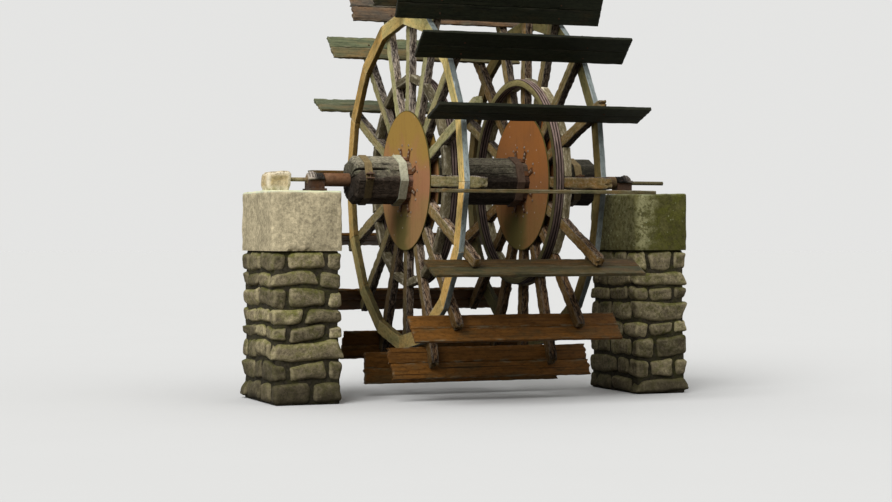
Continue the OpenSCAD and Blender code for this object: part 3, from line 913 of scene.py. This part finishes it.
def hoop(side, sign, sizes, face, ribs):
    """One hoop, spun from a profile with shallow ribs on its outer and inner side."""
    low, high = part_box(side + "_hoop")
    width = high.x - low.x
    rib_count = 3
    rib_steps = 6
    sag = 0.010
    warp = 0.004
    bm = new_group()

    def ribbed(radius, inwards):
        for step in range(rib_count * rib_steps + 1):
            crest = abs(math.sin(math.pi * step / rib_steps)) ** 0.45
            x = low.x + width * step / (rib_count * rib_steps)
            yield from_shaft(x, UP, radius + inwards * sag * (1 - crest))

    inside = list(ribbed(sizes.hoop_radius - sizes.hoop_depth, 1))
    closed_outline(bm, list(ribbed(sizes.hoop_radius, -1)) + inside[::-1])
    bmesh.ops.spin(bm, geom=bm.verts[:] + bm.edges[:], cent=AXLE, axis=(1, 0, 0),
                   angle=math.tau, steps=144, use_merge=True)
    bmesh.ops.remove_doubles(bm, verts=bm.verts, dist=0.00001)
    bmesh.ops.recalc_face_normals(bm, faces=bm.faces)
    for each in bm.faces:
        each.material_index = 0 if abs(each.normal.x) > 0.9 else 1
    tones, tints, wears, grains = layers(bm)
    for vert in bm.verts:
        spoke = vert.co - AXLE
        spoke.x = 0
        radius = spoke.length
        angle = math.atan2(spoke.z, -spoke.y)
        vert[grains] = (angle * radius, radius, vert.co.x + 7 * sign)
        # The wear layer here marks the ribs' crests, where the pale painted highlight goes
        vert[wears] = abs(math.sin(math.pi * (vert.co.x - low.x) / width * rib_count))
        # Painted light and shade on the hoops: the left hoop is dimmed all round; on the right one the
        # side faces are lit at the top and the rest towards the upper front
        if sign < 0:
            lit = 0.44
        elif min(vert.co.x - low.x, high.x - vert.co.x) < 0.001:
            lit = 0.3 + 0.7 * max(0.0, math.sin(angle)) ** 3
        else:
            lit = 0.35 + 0.65 * max(0.0, math.cos(angle - math.radians(60)))
        vert[tones] = lit * (1 - 0.3 * wetness(vert.co.z))
        vert[tints] = 0.4
        swell = noise.noise(Vector((angle * 3, radius * 4, 5.0 + sign))) * warp
        vert.co += spoke.normalized() * (swell - warp)
    piece(side + "_ribbed_hoop", bm, (face, ribs), "wheel", [side + "_hoop"])


def felloes(side, sign, sizes, finish):
    """The blocks between the arms, behind a hoop."""
    low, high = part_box(side + "_felloes")
    group = new_group()
    middle = sizes.hoop_radius - sizes.hoop_depth / 2
    clear = 0.0005
    for index in range(ARM_COUNT):
        seed = 400 + 3 * index + sign
        rng = random.Random(seed)
        out, turn = directions(WHEEL_TURN + (index + 0.5) * PITCH)
        place = axes(turn, out, from_shaft((high.x + low.x) / 2, out, middle))
        dims = [1.0, sizes.hoop_depth, high.x - low.x]
        bm = block(dims, (9, 3, 3), 0.006)
        for vert in bm.verts:
            reach = vert.co.y + middle
            half = (reach * math.sin(PITCH / 2) - sizes.arm_width / 2) / math.cos(PITCH / 2)
            vert.co.x *= 2 * (half - clear)
        dims[0] = 2 * half
        tone = rng.uniform(0.8, 1.15) * (0.9 if sign > 0 else 0.55)
        tint = rng.uniform(0.2, 0.7)
        weather(bm, dims, (0.0, 0.004, 0.002), 0.006, (9, 12, 12), seed, tone, tint, 0.014)
        append(group, bm, place)
    piece(side + "_felloe_blocks", group, (finish,), "wheel",
          [side + "_felloes"])


class WATERWHEEL_OT_hoops(Operator):
    """Builds the ribbed hoops and the blocks between the arms behind them"""

    bl_idname = "waterwheel.hoops"
    bl_label = "Hoops"

    def execute(self, context):
        sizes = context.scene.wheel_sizes
        colours = context.scene.timber_colours
        face = timber("hoop_face", colours.hoop_face, shade(colours.hoop_face, 0.8),
                      colours.hoop_worn, streaks=0.4)
        ribs = ribbed_timber(colours.hoop_crest_highlight, colours.hoop_groove_shade)
        blocks = timber("felloe_blocks", colours.felloe, shade(colours.felloe, 0.75),
                        colours.felloe_worn, streaks=0.5)
        for side, sign in SIDES.items():
            hoop(side, sign, sizes, face, ribs)
            felloes(side, sign, sizes, blocks)
        return {"FINISHED"}


def wear_ends(bm, dims, seed, depth):
    """Wears a plank's ends back, more along some fibres than others."""
    reach = 0.05
    for vert in bm.verts:
        end = max(0.0, (abs(vert.co.x) - dims[0] / 2 + reach) / reach)
        bite = 0.5 + noise.noise(Vector((vert.co.y * 28, vert.co.z * 9, seed + vert.co.x)))
        vert.co.x -= math.copysign(depth * end * max(0.0, bite), vert.co.x)


def close_seam(bm, dims, seam, side):
    """Lets two planks meet inside their thickness, so that only a groove stays between them."""
    bevel = 0.012
    for vert in bm.verts:
        if vert.co.y * side > dims[1] / 2 - bevel and abs(vert.co.z) < dims[2] / 4:
            vert.co.y = side * (dims[1] + seam) / 2


def float_bolts(node, sizes, heads, out, turn, drop):
    """Two bolts through a float into each of its two arms."""
    group = new_group()
    sunk = 0.002
    for side in SIDES:
        low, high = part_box(side + "_arms")
        for share in (0.2, 0.62):
            radius = sizes.float_radius - sizes.float_width * (1 - share)
            spot = from_shaft((low.x + high.x) / 2, out, radius)
            spot -= turn * (drop + sizes.float_thickness / 2 - sunk)
            bolt(group, facing(-turn, spot), sizes.bolt * 0.5)
    piece(node + "_bolts", group, (heads,), "wheel")


class WATERWHEEL_OT_floats(Operator):
    """Builds the float boards, each from two planks with ragged ends"""

    bl_idname = "waterwheel.floats"
    bl_label = "Floats"

    planks = 2
    seam = 0.0015
    old_float = 6
    # Painted light and shade of each float, from float_01: dark where it faces down at the front and
    # light where it faces up at the back, partly weathered as well; and how bare its wood is
    painted_lightness = (0.7, 0.1, 0.12, 0.1, 0.2, 0.75, 0.85, 0.68, 0.6, 0.4, 0.4, 0.4, 0.4, 0.45, 0.5, 0.36)
    bareness = (0.3, -0.3, -0.3, -0.3, 0.0, 0.15, -0.02, -0.12, 0.3, 0.7, 0.9, 0.9, 0.9, 1.0, 1.0, 0.3)

    def execute(self, context):
        sizes = context.scene.wheel_sizes
        colours = context.scene.timber_colours
        iron = context.scene.iron_colours
        looks = {"streaks": 0.6, "cracks": 0.9, "relief": 0.003, "bleach": 0.05}
        finish = timber("float_planks", colours.float_grey, colours.float_brown,
                        colours.float_worn, wet=0.2, **looks)
        old = timber("old_float_planks", colours.float_old, shade(colours.float_brown, 0.9),
                     colours.float_worn, **looks)
        heads = rusty("float_bolts", shade(iron.rust_dark, 1.6), shade(iron.rust, 0.35),
                      iron.rust_dark)
        for number in range(1, ARM_COUNT + 1):
            self.float_board(number, sizes, old if number == self.old_float else finish, heads)
        return {"FINISHED"}

    def float_board(self, number, sizes, finish, heads):
        """One float: its planks side by side, outwards from the arms, and its bolts."""
        node = "float_%02d" % number
        low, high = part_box(node)
        length = high.x - low.x
        rng = random.Random(700 + number)
        out, turn = directions(WHEEL_TURN + (number - 1) * PITCH)
        clear = 0.0003
        drop = sizes.arm_width / 2 + clear + sizes.float_thickness / 2
        group = new_group()
        width = sizes.float_width / self.planks
        sound = number <= 4 or number >= ARM_COUNT - 1
        for plank in range(self.planks):
            seed = 700 + number * 10 + plank
            outwards = sizes.float_radius - sizes.float_width + (plank + 0.5) * width
            shorter = rng.uniform(0.001, 0.004 if sound else 0.03)
            dims = (length - shorter, width - self.seam, sizes.float_thickness)
            bm = block(dims, (70, 6, 2), 0.004)
            shift = rng.uniform(-0.5, 0.5) * shorter
            place = axes(ALONG, out, from_shaft(shift, out, outwards) - turn * drop)
            # The float's tone carries its painted light and shade
            tone = rng.uniform(0.9, 1.1) * self.painted_lightness[number - 1]
            tint = self.bareness[number - 1] + 0.3 * (1 - plank)
            chips = 0.003 if sound else 0.01
            weather(bm, dims, (0.0, 0.002, 0.002), chips, (4, 16, 16), seed, tone, tint, 0.018)
            wear_ends(bm, dims, seed, 0.006 if sound else rng.uniform(0.015, 0.035))
            close_seam(bm, dims, self.seam, 1 - 2 * plank)
            append(group, bm, place)
        piece(node + "_planks", group, (finish,), "wheel", [node])
        float_bolts(node, sizes, heads, out, turn, drop)


def shaft_body(sizes, length):
    """An eight-sided bar along X with chamfered ends, cut into a fine grid."""
    radius = sizes.shaft_flats / 2 / math.cos(math.pi / FACETS)
    bm = new_group()
    bmesh.ops.create_cone(bm, cap_ends=False, segments=FACETS, radius1=radius, radius2=radius,
                          depth=length)
    bmesh.ops.rotate(bm, matrix=Matrix.Rotation(math.pi / 2, 3, "Y"), verts=bm.verts)
    corner = max(bm.verts, key=lambda v: v.co.z)
    start = math.atan2(corner.co.z, -corner.co.y)
    bmesh.ops.rotate(bm, matrix=Matrix.Rotation(start - WHEEL_TURN - math.pi / 2, 3, "X"),
                     verts=bm.verts)
    near_end = 0.001
    for sign in (-1, 1):
        bmesh.ops.bisect_plane(bm, geom=bm.verts[:] + bm.edges[:] + bm.faces[:],
                               plane_co=(sign * (length / 2 - sizes.shaft_chamfer), 0, 0),
                               plane_no=(1, 0, 0))
    shrink = 1 - sizes.shaft_chamfer / radius
    for vert in bm.verts:
        if abs(vert.co.x) > length / 2 - near_end:
            vert.co.y *= shrink
            vert.co.z *= shrink
    around = [e for e in bm.edges if abs(e.verts[0].co.x - e.verts[1].co.x) < near_end]
    bmesh.ops.subdivide_edges(bm, edges=around, cuts=23, use_grid_fill=True)
    split(bm, 0, 109)
    close_ends(bm)
    bmesh.ops.recalc_face_normals(bm, faces=bm.faces)
    return bm


def close_ends(bm):
    """Fills both ends with rings that shrink towards the gudgeons."""
    for sign in (-1, 1):
        rim = [e for e in bm.edges if e.is_boundary and e.verts[0].co.x * sign > 0]
        for share in (0.86, 0.84, 0.8, 0.74, 0.6):
            made = bmesh.ops.extrude_edge_only(bm, edges=rim)["geom"]
            inner = [v for v in made if isinstance(v, bmesh.types.BMVert)]
            bmesh.ops.scale(bm, vec=(1, share, share), verts=inner)
            rim = [e for e in made if isinstance(e, bmesh.types.BMEdge) and e.is_boundary]
        bmesh.ops.edgeloop_fill(bm, edges=rim)


def shaft_cracks(left, right):
    """Long checks along the shaft: start and end, angle, half width and depth of each."""
    rng = random.Random(5)
    cracks = [(-1.4, -0.88, math.radians(29), 0.014, 0.03),
              (-1.02, -0.86, math.radians(44), 0.026, 0.03),
              (-0.9, -0.74, math.radians(24), 0.01, 0.018)]
    for _ in range(26):
        start = rng.uniform(left, right - 0.3)
        cracks.append((start, start + rng.uniform(0.2, 0.8), rng.uniform(0, math.tau),
                       rng.uniform(0.004, 0.007), rng.uniform(0.006, 0.014)))
    return cracks


def crack_depth(cracks, x, angle, facet):
    """How deep the cracks are at a place along the shaft and an angle around it."""
    runout = 0.12
    sink = 0.0
    for first, last, where, width, depth in cracks:
        inside = min(x - first, last - x)
        if inside > 0:
            waver = 0.3 * depth * noise.noise(Vector((x * 3, where * 9, 0)))
            turn = (angle - where + math.pi) % math.tau - math.pi
            miss = abs(turn * facet + waver)
            fade = min(1.0, inside / runout)
            sink = max(sink, depth * fade * max(0.0, 1 - miss / width))
    return sink


def weather_shaft(bm, left, right, facet):
    """Sinks the cracks into the facets, splits the ends, and marks the stains and the painted shade in
    the cracks, along the shaft and on its ends.
    """
    length = right - left
    middle = (left + right) / 2
    discs = [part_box(side + "_outer_disc")[0].x for side in SIDES]
    discs += [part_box(side + "_inner_disc")[0].x for side in SIDES]
    cracks = shaft_cracks(left, right)
    stain_reach = 0.16
    end_shade = 0.025
    pale_until, shaded_until = -0.6, 0.8
    tones, tints, wears, grains = layers(bm)
    for vert in bm.verts:
        x, y, z = vert.co
        x += middle
        radius = math.hypot(y, z)
        angle = math.atan2(z, -y)
        sink = crack_depth(cracks, x, angle, facet)
        swell = noise.noise(Vector((x * 2.5, y * 14, z * 14)))
        small = noise.noise(Vector((x * 12, angle * facet * 60, 3.0)))
        shrink = sink + 0.004 * max(0.0, 0.4 + swell) + 0.003 * max(0.0, 0.4 + small)
        if radius > 0.05:
            vert.co.y *= 1 - shrink / radius
            vert.co.z *= 1 - shrink / radius
        split_end = 0.0
        if abs(vert.co.x) > length / 2 - 0.001:
            ray = noise.noise(Vector((math.cos(angle) * 5, math.sin(angle) * 5, x)))
            split_end = max(0.0, 1 - abs(ray) / 0.06) * min(1.0, radius / 0.12)
            vert.co.x -= math.copysign(0.012 * split_end + 0.004 * max(0.0, 0.4 + swell), x)
        vert[grains] = (x + 3, y, z)
        vert[wears] = 0.0
        # Painted shade: dark in the cracks and split ends, dimmed along the middle and right part of
        # the shaft, and dimmed on the end faces
        vert[tones] = 1.0 - max(min(0.92, sink * 70), 0.7 * split_end)
        vert[tones] *= 1.0 if x < pale_until else 0.5 if x < shaded_until else 0.22
        if length / 2 - abs(vert.co.x) < end_shade:
            vert[tones] *= 0.6
        vert[tints] = max(0.0, 1 - min(abs(x - disc) for disc in discs) / stain_reach)


class WATERWHEEL_OT_shaft(Operator):
    """Builds the eight-sided shaft with its checks and cracks"""

    bl_idname = "waterwheel.shaft"
    bl_label = "Shaft"

    def execute(self, context):
        sizes = context.scene.wheel_sizes
        low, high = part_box("shaft")
        bm = shaft_body(sizes, high.x - low.x)
        weather_shaft(bm, low.x, high.x, sizes.shaft_flats / 2)
        bmesh.ops.translate(bm, vec=from_shaft((low.x + high.x) / 2), verts=bm.verts)
        finish = shaft_timber(context.scene.timber_colours)
        piece("shaft_timber", bm, (finish,), "wheel", ["shaft"], crease=28)
        return {"FINISHED"}


def disc_bolts(side, sign, sizes, finish):
    """Bolts through the cleats' upright legs, on the outer side of each disc."""
    group = new_group()
    cleat = 0.009
    # Radius, distance to the side and height of the seat of each bolt around a cleat
    seats = ((0.262, 0.0, cleat), (0.3, 0.0, cleat), (0.355, -0.05, 0.0), (0.355, 0.05, 0.0))
    for place, outwards in (("outer", sign), ("inner", -sign)):
        low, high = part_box("%s_%s_disc" % (side, place))
        face = high.x if outwards > 0 else low.x
        for facet in range(FACETS):
            out, turn = directions(WHEEL_TURN + (facet + 0.5) * math.tau / FACETS)
            for radius, aside, seat in seats:
                spot = from_shaft(face + outwards * seat, out, radius) + turn * aside
                bolt(group, facing(ALONG * outwards, spot), sizes.bolt * 0.6)
    piece(side + "_disc_bolts", group, (finish,), "wheel")


def band_clamps(sizes, finish):
    """Lugs and bolts that draw the bands tight on the front of the shaft."""
    group = new_group()
    low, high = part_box("shaft_bands")
    width = sizes.band_width
    lug_height = 0.05
    lug_thickness = 0.012
    lug_middle = 0.035
    apart = 0.022
    head = 0.012
    shank = 0.007
    out, turn = directions(math.radians(8))
    for x in (low.x + width / 2, high.x - width / 2):
        middle = from_shaft(x, out, sizes.shaft_flats / 2 + lug_middle)
        for aside in (-apart, apart):
            lug = block((lug_height, lug_thickness, width), (2, 0, 2), 0.002)
            append(group, lug, axes(out, turn, middle + turn * aside))
        bolt(group, facing(turn, middle + turn * (apart + 0.008)), head)
        bm = new_group()
        bmesh.ops.create_cone(bm, cap_ends=True, segments=12, radius1=shank, radius2=shank,
                              depth=0.08)
        append(group, bm, facing(turn, middle))
    piece("band_clamps", group, (finish,), "wheel")


class WATERWHEEL_OT_ironwork(Operator):
    """Finishes the discs, gudgeons, bands, collars and cleats, and adds their bolts"""

    bl_idname = "waterwheel.ironwork"
    bl_label = "Ironwork"

    def execute(self, context):
        sizes = context.scene.wheel_sizes
        iron = context.scene.iron_colours
        dark = iron.rust_dark
        heads = rusty("bolt_heads", iron.head, iron.head_rust, dark)
        cleat = rusty("cleat_iron", shade(iron.rust, 0.55), shade(iron.rust, 0.8), dark)
        for side, upper, middle, low_share in (
            ("left", iron.disc_ochre, iron.disc_rose, 0.4),
            ("right", iron.disc_orange, iron.disc_maroon, 0.3),
        ):
            steel = disc_steel(side + "_disc_steel", sizes.disc_radius, upper, middle,
                               iron.disc_olive, low_share, iron.disc_speck)
            for place in ("outer", "inner"):
                dress("%s_%s_disc" % (side, place), steel)
            dress(side + "_cleats", cleat)
            disc_bolts(side, SIDES[side], sizes, heads)
        # The below shares paint shade under the gudgeons, the bands and the left collars
        dress("left_gudgeon", rusty("left_gudgeon_iron", iron.rust, iron.rust_pale, dark,
                                    below=0.6, rod=iron.rod))
        dress("right_gudgeon", rusty("right_gudgeon_iron", shade(iron.rust, 0.8),
                                     shade(iron.rod, 0.35), dark, below=0.5,
                                     rod=shade(iron.rod, 0.4)))
        dress("shaft_bands", rusty("band_iron", iron.band, shade(iron.band, 0.7), dark,
                                   below=0.25))
        dress("left_collars", rusty("pale_collar", iron.collar_pale,
                                    shade(iron.collar_pale, 0.6), iron.collar_stain, below=0.55))
        dress("right_collars", rusty("brown_collar", iron.collar_brown,
                                     shade(iron.collar_brown, 1.3), dark))
        band_clamps(sizes, rusty("clamp_iron", iron.clamp, shade(iron.rust, 0.6), dark))
        return {"FINISHED"}


def cap_profile(sizes, inwards):
    """Radius of a bearing's cap and height of its ribs, from 0 at its outer end to 1 inside."""
    waist = 0.6
    if inwards < waist:
        barrel = max(0.0, math.sin(math.pi * inwards / waist)) ** 0.6
        crest = abs(math.cos(math.pi * 3.5 * inwards / waist)) ** 1.4
        return sizes.housing * (0.78 + 0.24 * barrel) + sizes.rib * crest * barrel, crest
    crest = abs(math.sin(math.pi * 4 * (inwards - waist) / (1 - waist)))
    return sizes.housing * 0.82 + 0.8 * sizes.rib * crest, crest


def bearing_cap(side, sizes, finish):
    """A ribbed half barrel with a lug on each side, pale towards its outer end, with painted light on
    the ribs' crests and painted shade between them.
    """
    low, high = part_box(side + "_bearing_cap")
    length = high.x - low.x
    steps = 40
    bm = new_group()

    def profile(share):
        return cap_profile(sizes, held(share if side == "left" else 1 - share))

    outline = [(step / steps, profile(step / steps)[0]) for step in range(steps + 1)]
    outline = [(0, sizes.bore)] + outline + [(1, sizes.bore)]
    rim = closed_outline(bm, [from_shaft(low.x + length * share, -ACROSS, radius)
                              for share, radius in outline])
    ends = bmesh.ops.spin(bm, geom=bm.verts[:] + bm.edges[:], cent=AXLE, axis=(1, 0, 0),
                          angle=-math.pi, steps=32)["geom_last"]
    bm.faces.new(rim)
    bm.faces.new([v for v in ends if isinstance(v, bmesh.types.BMVert)])
    bmesh.ops.recalc_face_normals(bm, faces=bm.faces)
    lug_width = high.y - AXLE.y - sizes.housing
    lap = 0.01
    for sign in (-1, 1):
        lug = block((length, lug_width + lap, sizes.foot), (6, 1, 1), 0.004)
        reach = sizes.housing + lug_width / 2 - lap / 2
        spot = AXLE + Vector(((low.x + high.x) / 2, sign * reach, sizes.foot / 2))
        append(bm, lug, Matrix.Translation(spot))
    tones = layers(bm)[0]
    for vert in bm.verts:
        outwards = SIDES[side] * (vert.co.x - (low.x + high.x) / 2) / length
        # Lighter towards the cap's outer end, and darker on the right cap
        worn = held(0.5 + 5 * (outwards - 0.05))
        crest = profile((vert.co.x - low.x) / length)[1]
        vert[tones] = (0.12 + 0.95 * worn) * (1 if side == "left" else 0.35)
        # Painted light on the ribs' crests and painted shade in the grooves
        vert[tones] *= 0.35 + 0.85 * crest
    piece(side + "_ribbed_cap", bm, (finish,), "piers", [side + "_bearing_cap"],
          crease=50)


def bearing_bolts(side, sizes, finish):
    """Bolts through the bearing's foot, and smaller ones through the cap's lugs."""
    group = new_group()
    foot_low, foot_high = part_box(side + "_bearing_block")
    cap_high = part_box(side + "_bearing_cap")[1]
    from_end = 0.04
    foot_head, foot_edge = 0.015, 0.035
    lug_head, lug_edge = 0.008, 0.010
    for x in (foot_low.x + from_end, foot_high.x - from_end):
        for sign in (-1, 1):
            foot = Vector((x, sign * (foot_high.y - foot_edge), foot_low.z + sizes.foot))
            bolt(group, facing(UP, foot), foot_head)
            lug = Vector((x, sign * (cap_high.y - lug_edge), AXLE.z + sizes.foot))
            bolt(group, facing(UP, lug), lug_head, washer=False)
    piece(side + "_bearing_bolts", group, (finish,), "piers")


class WATERWHEEL_OT_bearings(Operator):
    """Builds the ribbed bearing caps and their bolts"""

    bl_idname = "waterwheel.bearings"
    bl_label = "Bearings"

    def execute(self, context):
        sizes = context.scene.wheel_sizes
        iron = context.scene.iron_colours
        cap = rusty("ribbed_iron", iron.bearing, shade(iron.bearing, 0.6), iron.bearing_dark,
                    mottling=0.8, toned=True)
        casting = rusty("dark_iron", iron.casting, shade(iron.rust, 0.5), iron.rust_dark)
        for side in SIDES:
            dress(side + "_bearing_block", casting)
            bearing_cap(side, sizes, cap)
            bearing_bolts(side, sizes, casting)
        return {"FINISHED"}


def pier_core(sizes, wide, deep, tall):
    """The earth behind the stones, seen in the joints."""
    dims = (wide - 2 * sizes.core_inset, deep - 2 * sizes.core_inset, tall)
    core = block(dims, (8, 12, 16), 0.01)
    weather(core, dims, (0.015, 0.015, 0.0), 0.0, (9, 9, 9), 3)
    for face in core.faces:
        face.material_index = 1
    return core


def settle(bm, low, high, lean):
    """Bends the courses, leans the faces out towards the foot and keeps the pier in its box."""
    tall = high.z
    for vert in bm.verts:
        level = 1 - abs(2 * vert.co.z / tall - 1) ** 6
        broad = noise.noise_vector(vert.co * 2.2) * 0.05
        small = noise.noise_vector(vert.co * 7) * 0.012
        wave = broad + small
        vert.co.z += wave.z * level
        vert.co.y -= abs(wave.y) * 0.15 * math.copysign(1, vert.co.y)
        vert.co.y *= 1 + lean * (1 - vert.co.z / tall)
        vert.co.x = held(vert.co.x, low.x, high.x)
        vert.co.z = held(vert.co.z, 0.0, tall)


def lay_stone(group, rng, dims, middle):
    """One rounded and slightly skewed stone."""
    bm = block(dims, (7, 7, 4), min(dims) * 0.24, 3)
    seed = rng.random() * 90
    skew = [rng.uniform(-0.16, 0.16) for _ in range(4)]
    for vert in bm.verts:
        x, y, z = (vert.co[i] / dims[i] * 2 for i in range(3))
        vert.co.z *= 1 + 0.5 * (skew[0] * x + skew[1] * y)
        vert.co.x *= 1 + skew[2] * z
        vert.co.y *= 1 + skew[2] * z * 0.4
    weather(bm, dims, (0.022, 0.022, 0.014), 0.014, (6, 6, 8), seed,
            rng.uniform(0.6, 1.4), rng.random() * 0.9, 0.03)
    bmesh.ops.smooth_vert(bm, verts=bm.verts, factor=0.4, use_axis_x=True, use_axis_y=True,
                          use_axis_z=True)
    turn = Matrix.Rotation(rng.uniform(-0.05, 0.05), 4, "X")
    turn @= Matrix.Rotation(rng.uniform(-0.05, 0.05), 4, "Y")
    append(group, bm, Matrix.Translation(middle) @ turn)


def lay_course(group, sizes, rng, centre, wide, deep, height, odd):
    """One course round the pier: two rows reach its corners and the others butt on them."""
    for first, along, through, run, depth in (
        (True, ALONG, ACROSS, wide, deep),
        (False, ACROSS, ALONG, deep, wide),
    ):
        span = run if first != odd else run - 2 * sizes.stone_depth
        for sign in (-1, 1):
            place = -span / 2
            while place < span / 2 - 0.001:
                length = rng.uniform(0.6, 1.5) * sizes.stone
                if span / 2 - place - length < 0.55 * sizes.stone:
                    length = span / 2 - place
                middle = centre + along * (place + length / 2)
                middle += through * sign * (depth - sizes.stone_depth) / 2
                dims = [0, 0, height - rng.uniform(0.6, 1.4) * sizes.joint]
                flat = 0 if first else 1
                dims[flat] = length - rng.uniform(0.6, 1.6) * sizes.joint
                dims[1 - flat] = sizes.stone_depth - 0.004
                lay_stone(group, rng, dims, middle)
                place += length


def pier(side, sizes, stone, joint):
    """A pier of coursed rubble, from its foot up to its cap."""
    low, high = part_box(side + "_pier_base")
    rng = random.Random(side)
    wide = high.x - low.x
    deep = high.y - low.y - 2 * sizes.batter
    tall = high.z
    group = new_group()
    centre = Vector(((low.x + high.x) / 2, 0, tall / 2))
    append(group, pier_core(sizes, wide, deep, tall), Matrix.Translation(centre))
    z = 0.0
    odd = False
    while z < tall - 0.001:
        height = rng.uniform(0.75, 1.3) * sizes.course
        if tall - z - height < 0.6 * sizes.course:
            height = tall - z
        centre.z = z + height / 2
        lay_course(group, sizes, rng, centre, wide, deep, height, odd)
        z += height
        odd = not odd
    settle(group, low, high, sizes.batter / (deep / 2))
    piece(side + "_rubble", group, (stone, joint), "piers", [side + "_pier_base"],
          crease=75)


class WATERWHEEL_OT_rubble(Operator):
    """Lays the courses of rubble in both piers"""

    bl_idname = "waterwheel.rubble"
    bl_label = "Rubble"

    def execute(self, context):
        sizes = context.scene.pier_sizes
        stones = context.scene.stone_colours
        stone = masonry("rubble_stone", stones.rubble_pale, stones.rubble_dark, stones.moss,
                        0.7, 0.8)
        joint = masonry("rubble_joint", stones.mortar, shade(stones.mortar, 0.6),
                        shade(stones.moss, 0.5), 0.7, 0.5)
        for side in SIDES:
            pier(side, sizes, stone, joint)
        return {"FINISHED"}


def bedded(bm, low, high):
    """Lays small hollows over a block, gives it a flat bed and moves it to its box."""
    bottom = (low.z - high.z) / 2
    bed = 0.02
    for vert in bm.verts:
        hollow = 0.5 + 0.5 * noise.fractal(vert.co * 9, 0.7, 2.1, 4)
        vert.co *= 1 - 0.008 * held(hollow)
        if vert.co.z < bottom + bed:
            vert.co.z = bottom
    bmesh.ops.translate(bm, vec=(low + high) / 2, verts=bm.verts)


def pier_cap(side, stones, pale, dark, slot):
    """A cast cap on a pier."""
    node = side + "_pier_cap"
    low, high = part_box(node)
    finish = concrete(slot, stones, pale, dark, low, high, wet=side == "right")
    dims = tuple(high - low)
    bm = block(dims, (26, 42, 22), 0.016, 2)
    weather(bm, dims, (0.012, 0.014, 0.01), 0.01, (2.2, 2.2, 2.2), 11 + SIDES[side],
            edge_reach=0.06)
    bedded(bm, low, high)
    piece(side + "_concrete", bm, (finish,), "piers", [node], crease=60)


def end_stone(stones):
    """The rounded stone at the end of the left cap, darker on its front as painted shade."""
    low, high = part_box("left_end_stone")
    dims = tuple(high - low)
    bm = block(dims, (20, 18, 14), 0.045, 4)
    weather(bm, dims, (0.022, 0.018, 0.012), 0.012, (7, 7, 7), 8, edge_reach=0.05)
    bedded(bm, low, high)
    tones = layers(bm)[0]
    middle = (low.y + high.y) / 2
    # Painted shade on the stone's front
    front_tone = 0.82
    for vert in bm.verts:
        if vert.co.y - middle < -0.3 * dims[1]:
            vert[tones] = front_tone
    finish = masonry("limestone", stones.limestone, stones.limestone_dark,
                     shade(stones.limestone_dark, 0.6), 0.1, contrast=0.34)
    piece("end_limestone", bm, (finish,), "piers", ["left_end_stone"], crease=70)


class WATERWHEEL_OT_caps(Operator):
    """Builds the concrete caps of the piers and the end stone"""

    bl_idname = "waterwheel.caps"
    bl_label = "Caps"

    def execute(self, context):
        stones = context.scene.stone_colours
        pier_cap("left", stones, stones.concrete, shade(stones.concrete, 0.62), "pale_concrete")
        pier_cap("right", stones, shade(stones.concrete_wet, 1.7), stones.concrete_wet,
                 "mossy_concrete")
        end_stone(stones)
        return {"FINISHED"}


OPERATORS = (
    WATERWHEEL_OT_stage,
    WATERWHEEL_OT_rubble,
    WATERWHEEL_OT_caps,
    WATERWHEEL_OT_bearings,
    WATERWHEEL_OT_shaft,
    WATERWHEEL_OT_ironwork,
    WATERWHEEL_OT_arms,
    WATERWHEEL_OT_rims,
    WATERWHEEL_OT_hoops,
    WATERWHEEL_OT_floats,
)

SETTINGS = {
    "wheel_sizes": WheelSizes,
    "pier_sizes": PierSizes,
    "timber_colours": TimberColours,
    "iron_colours": IronColours,
    "stone_colours": StoneColours,
    "stage_settings": StageSettings,
}


class WATERWHEEL_PT_panel(Panel):
    """Lists the sizes, the colours and the steps"""

    bl_idname = "WATERWHEEL_PT_panel"
    bl_label = "Water wheel"
    bl_space_type = "VIEW_3D"
    bl_region_type = "UI"
    bl_category = "Water wheel"

    def draw(self, context):
        for operator in OPERATORS:
            self.layout.operator(operator.bl_idname)
        for name, group in SETTINGS.items():
            box = self.layout.box()
            box.label(text=name.replace("_", " ").capitalize())
            for key in group.__annotations__:
                box.prop(getattr(context.scene, name), key)


def register():
    noise.seed_set(NOISE_SEED)
    for group in SETTINGS.values():
        bpy.utils.register_class(group)
    for name, group in SETTINGS.items():
        setattr(bpy.types.Scene, name, PointerProperty(type=group))
    for operator in OPERATORS:
        bpy.utils.register_class(operator)
    bpy.utils.register_class(WATERWHEEL_PT_panel)


def unregister():
    bpy.utils.unregister_class(WATERWHEEL_PT_panel)
    for operator in reversed(OPERATORS):
        bpy.utils.unregister_class(operator)
    for name in SETTINGS:
        delattr(bpy.types.Scene, name)
    for group in reversed(list(SETTINGS.values())):
        bpy.utils.unregister_class(group)


def main():
    """Builds every group in turn."""
    register()
    for operator in OPERATORS:
        family, name = operator.bl_idname.split(".")
        getattr(getattr(bpy.ops, family), name)()
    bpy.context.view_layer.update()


if __name__ == "__main__":
    main()
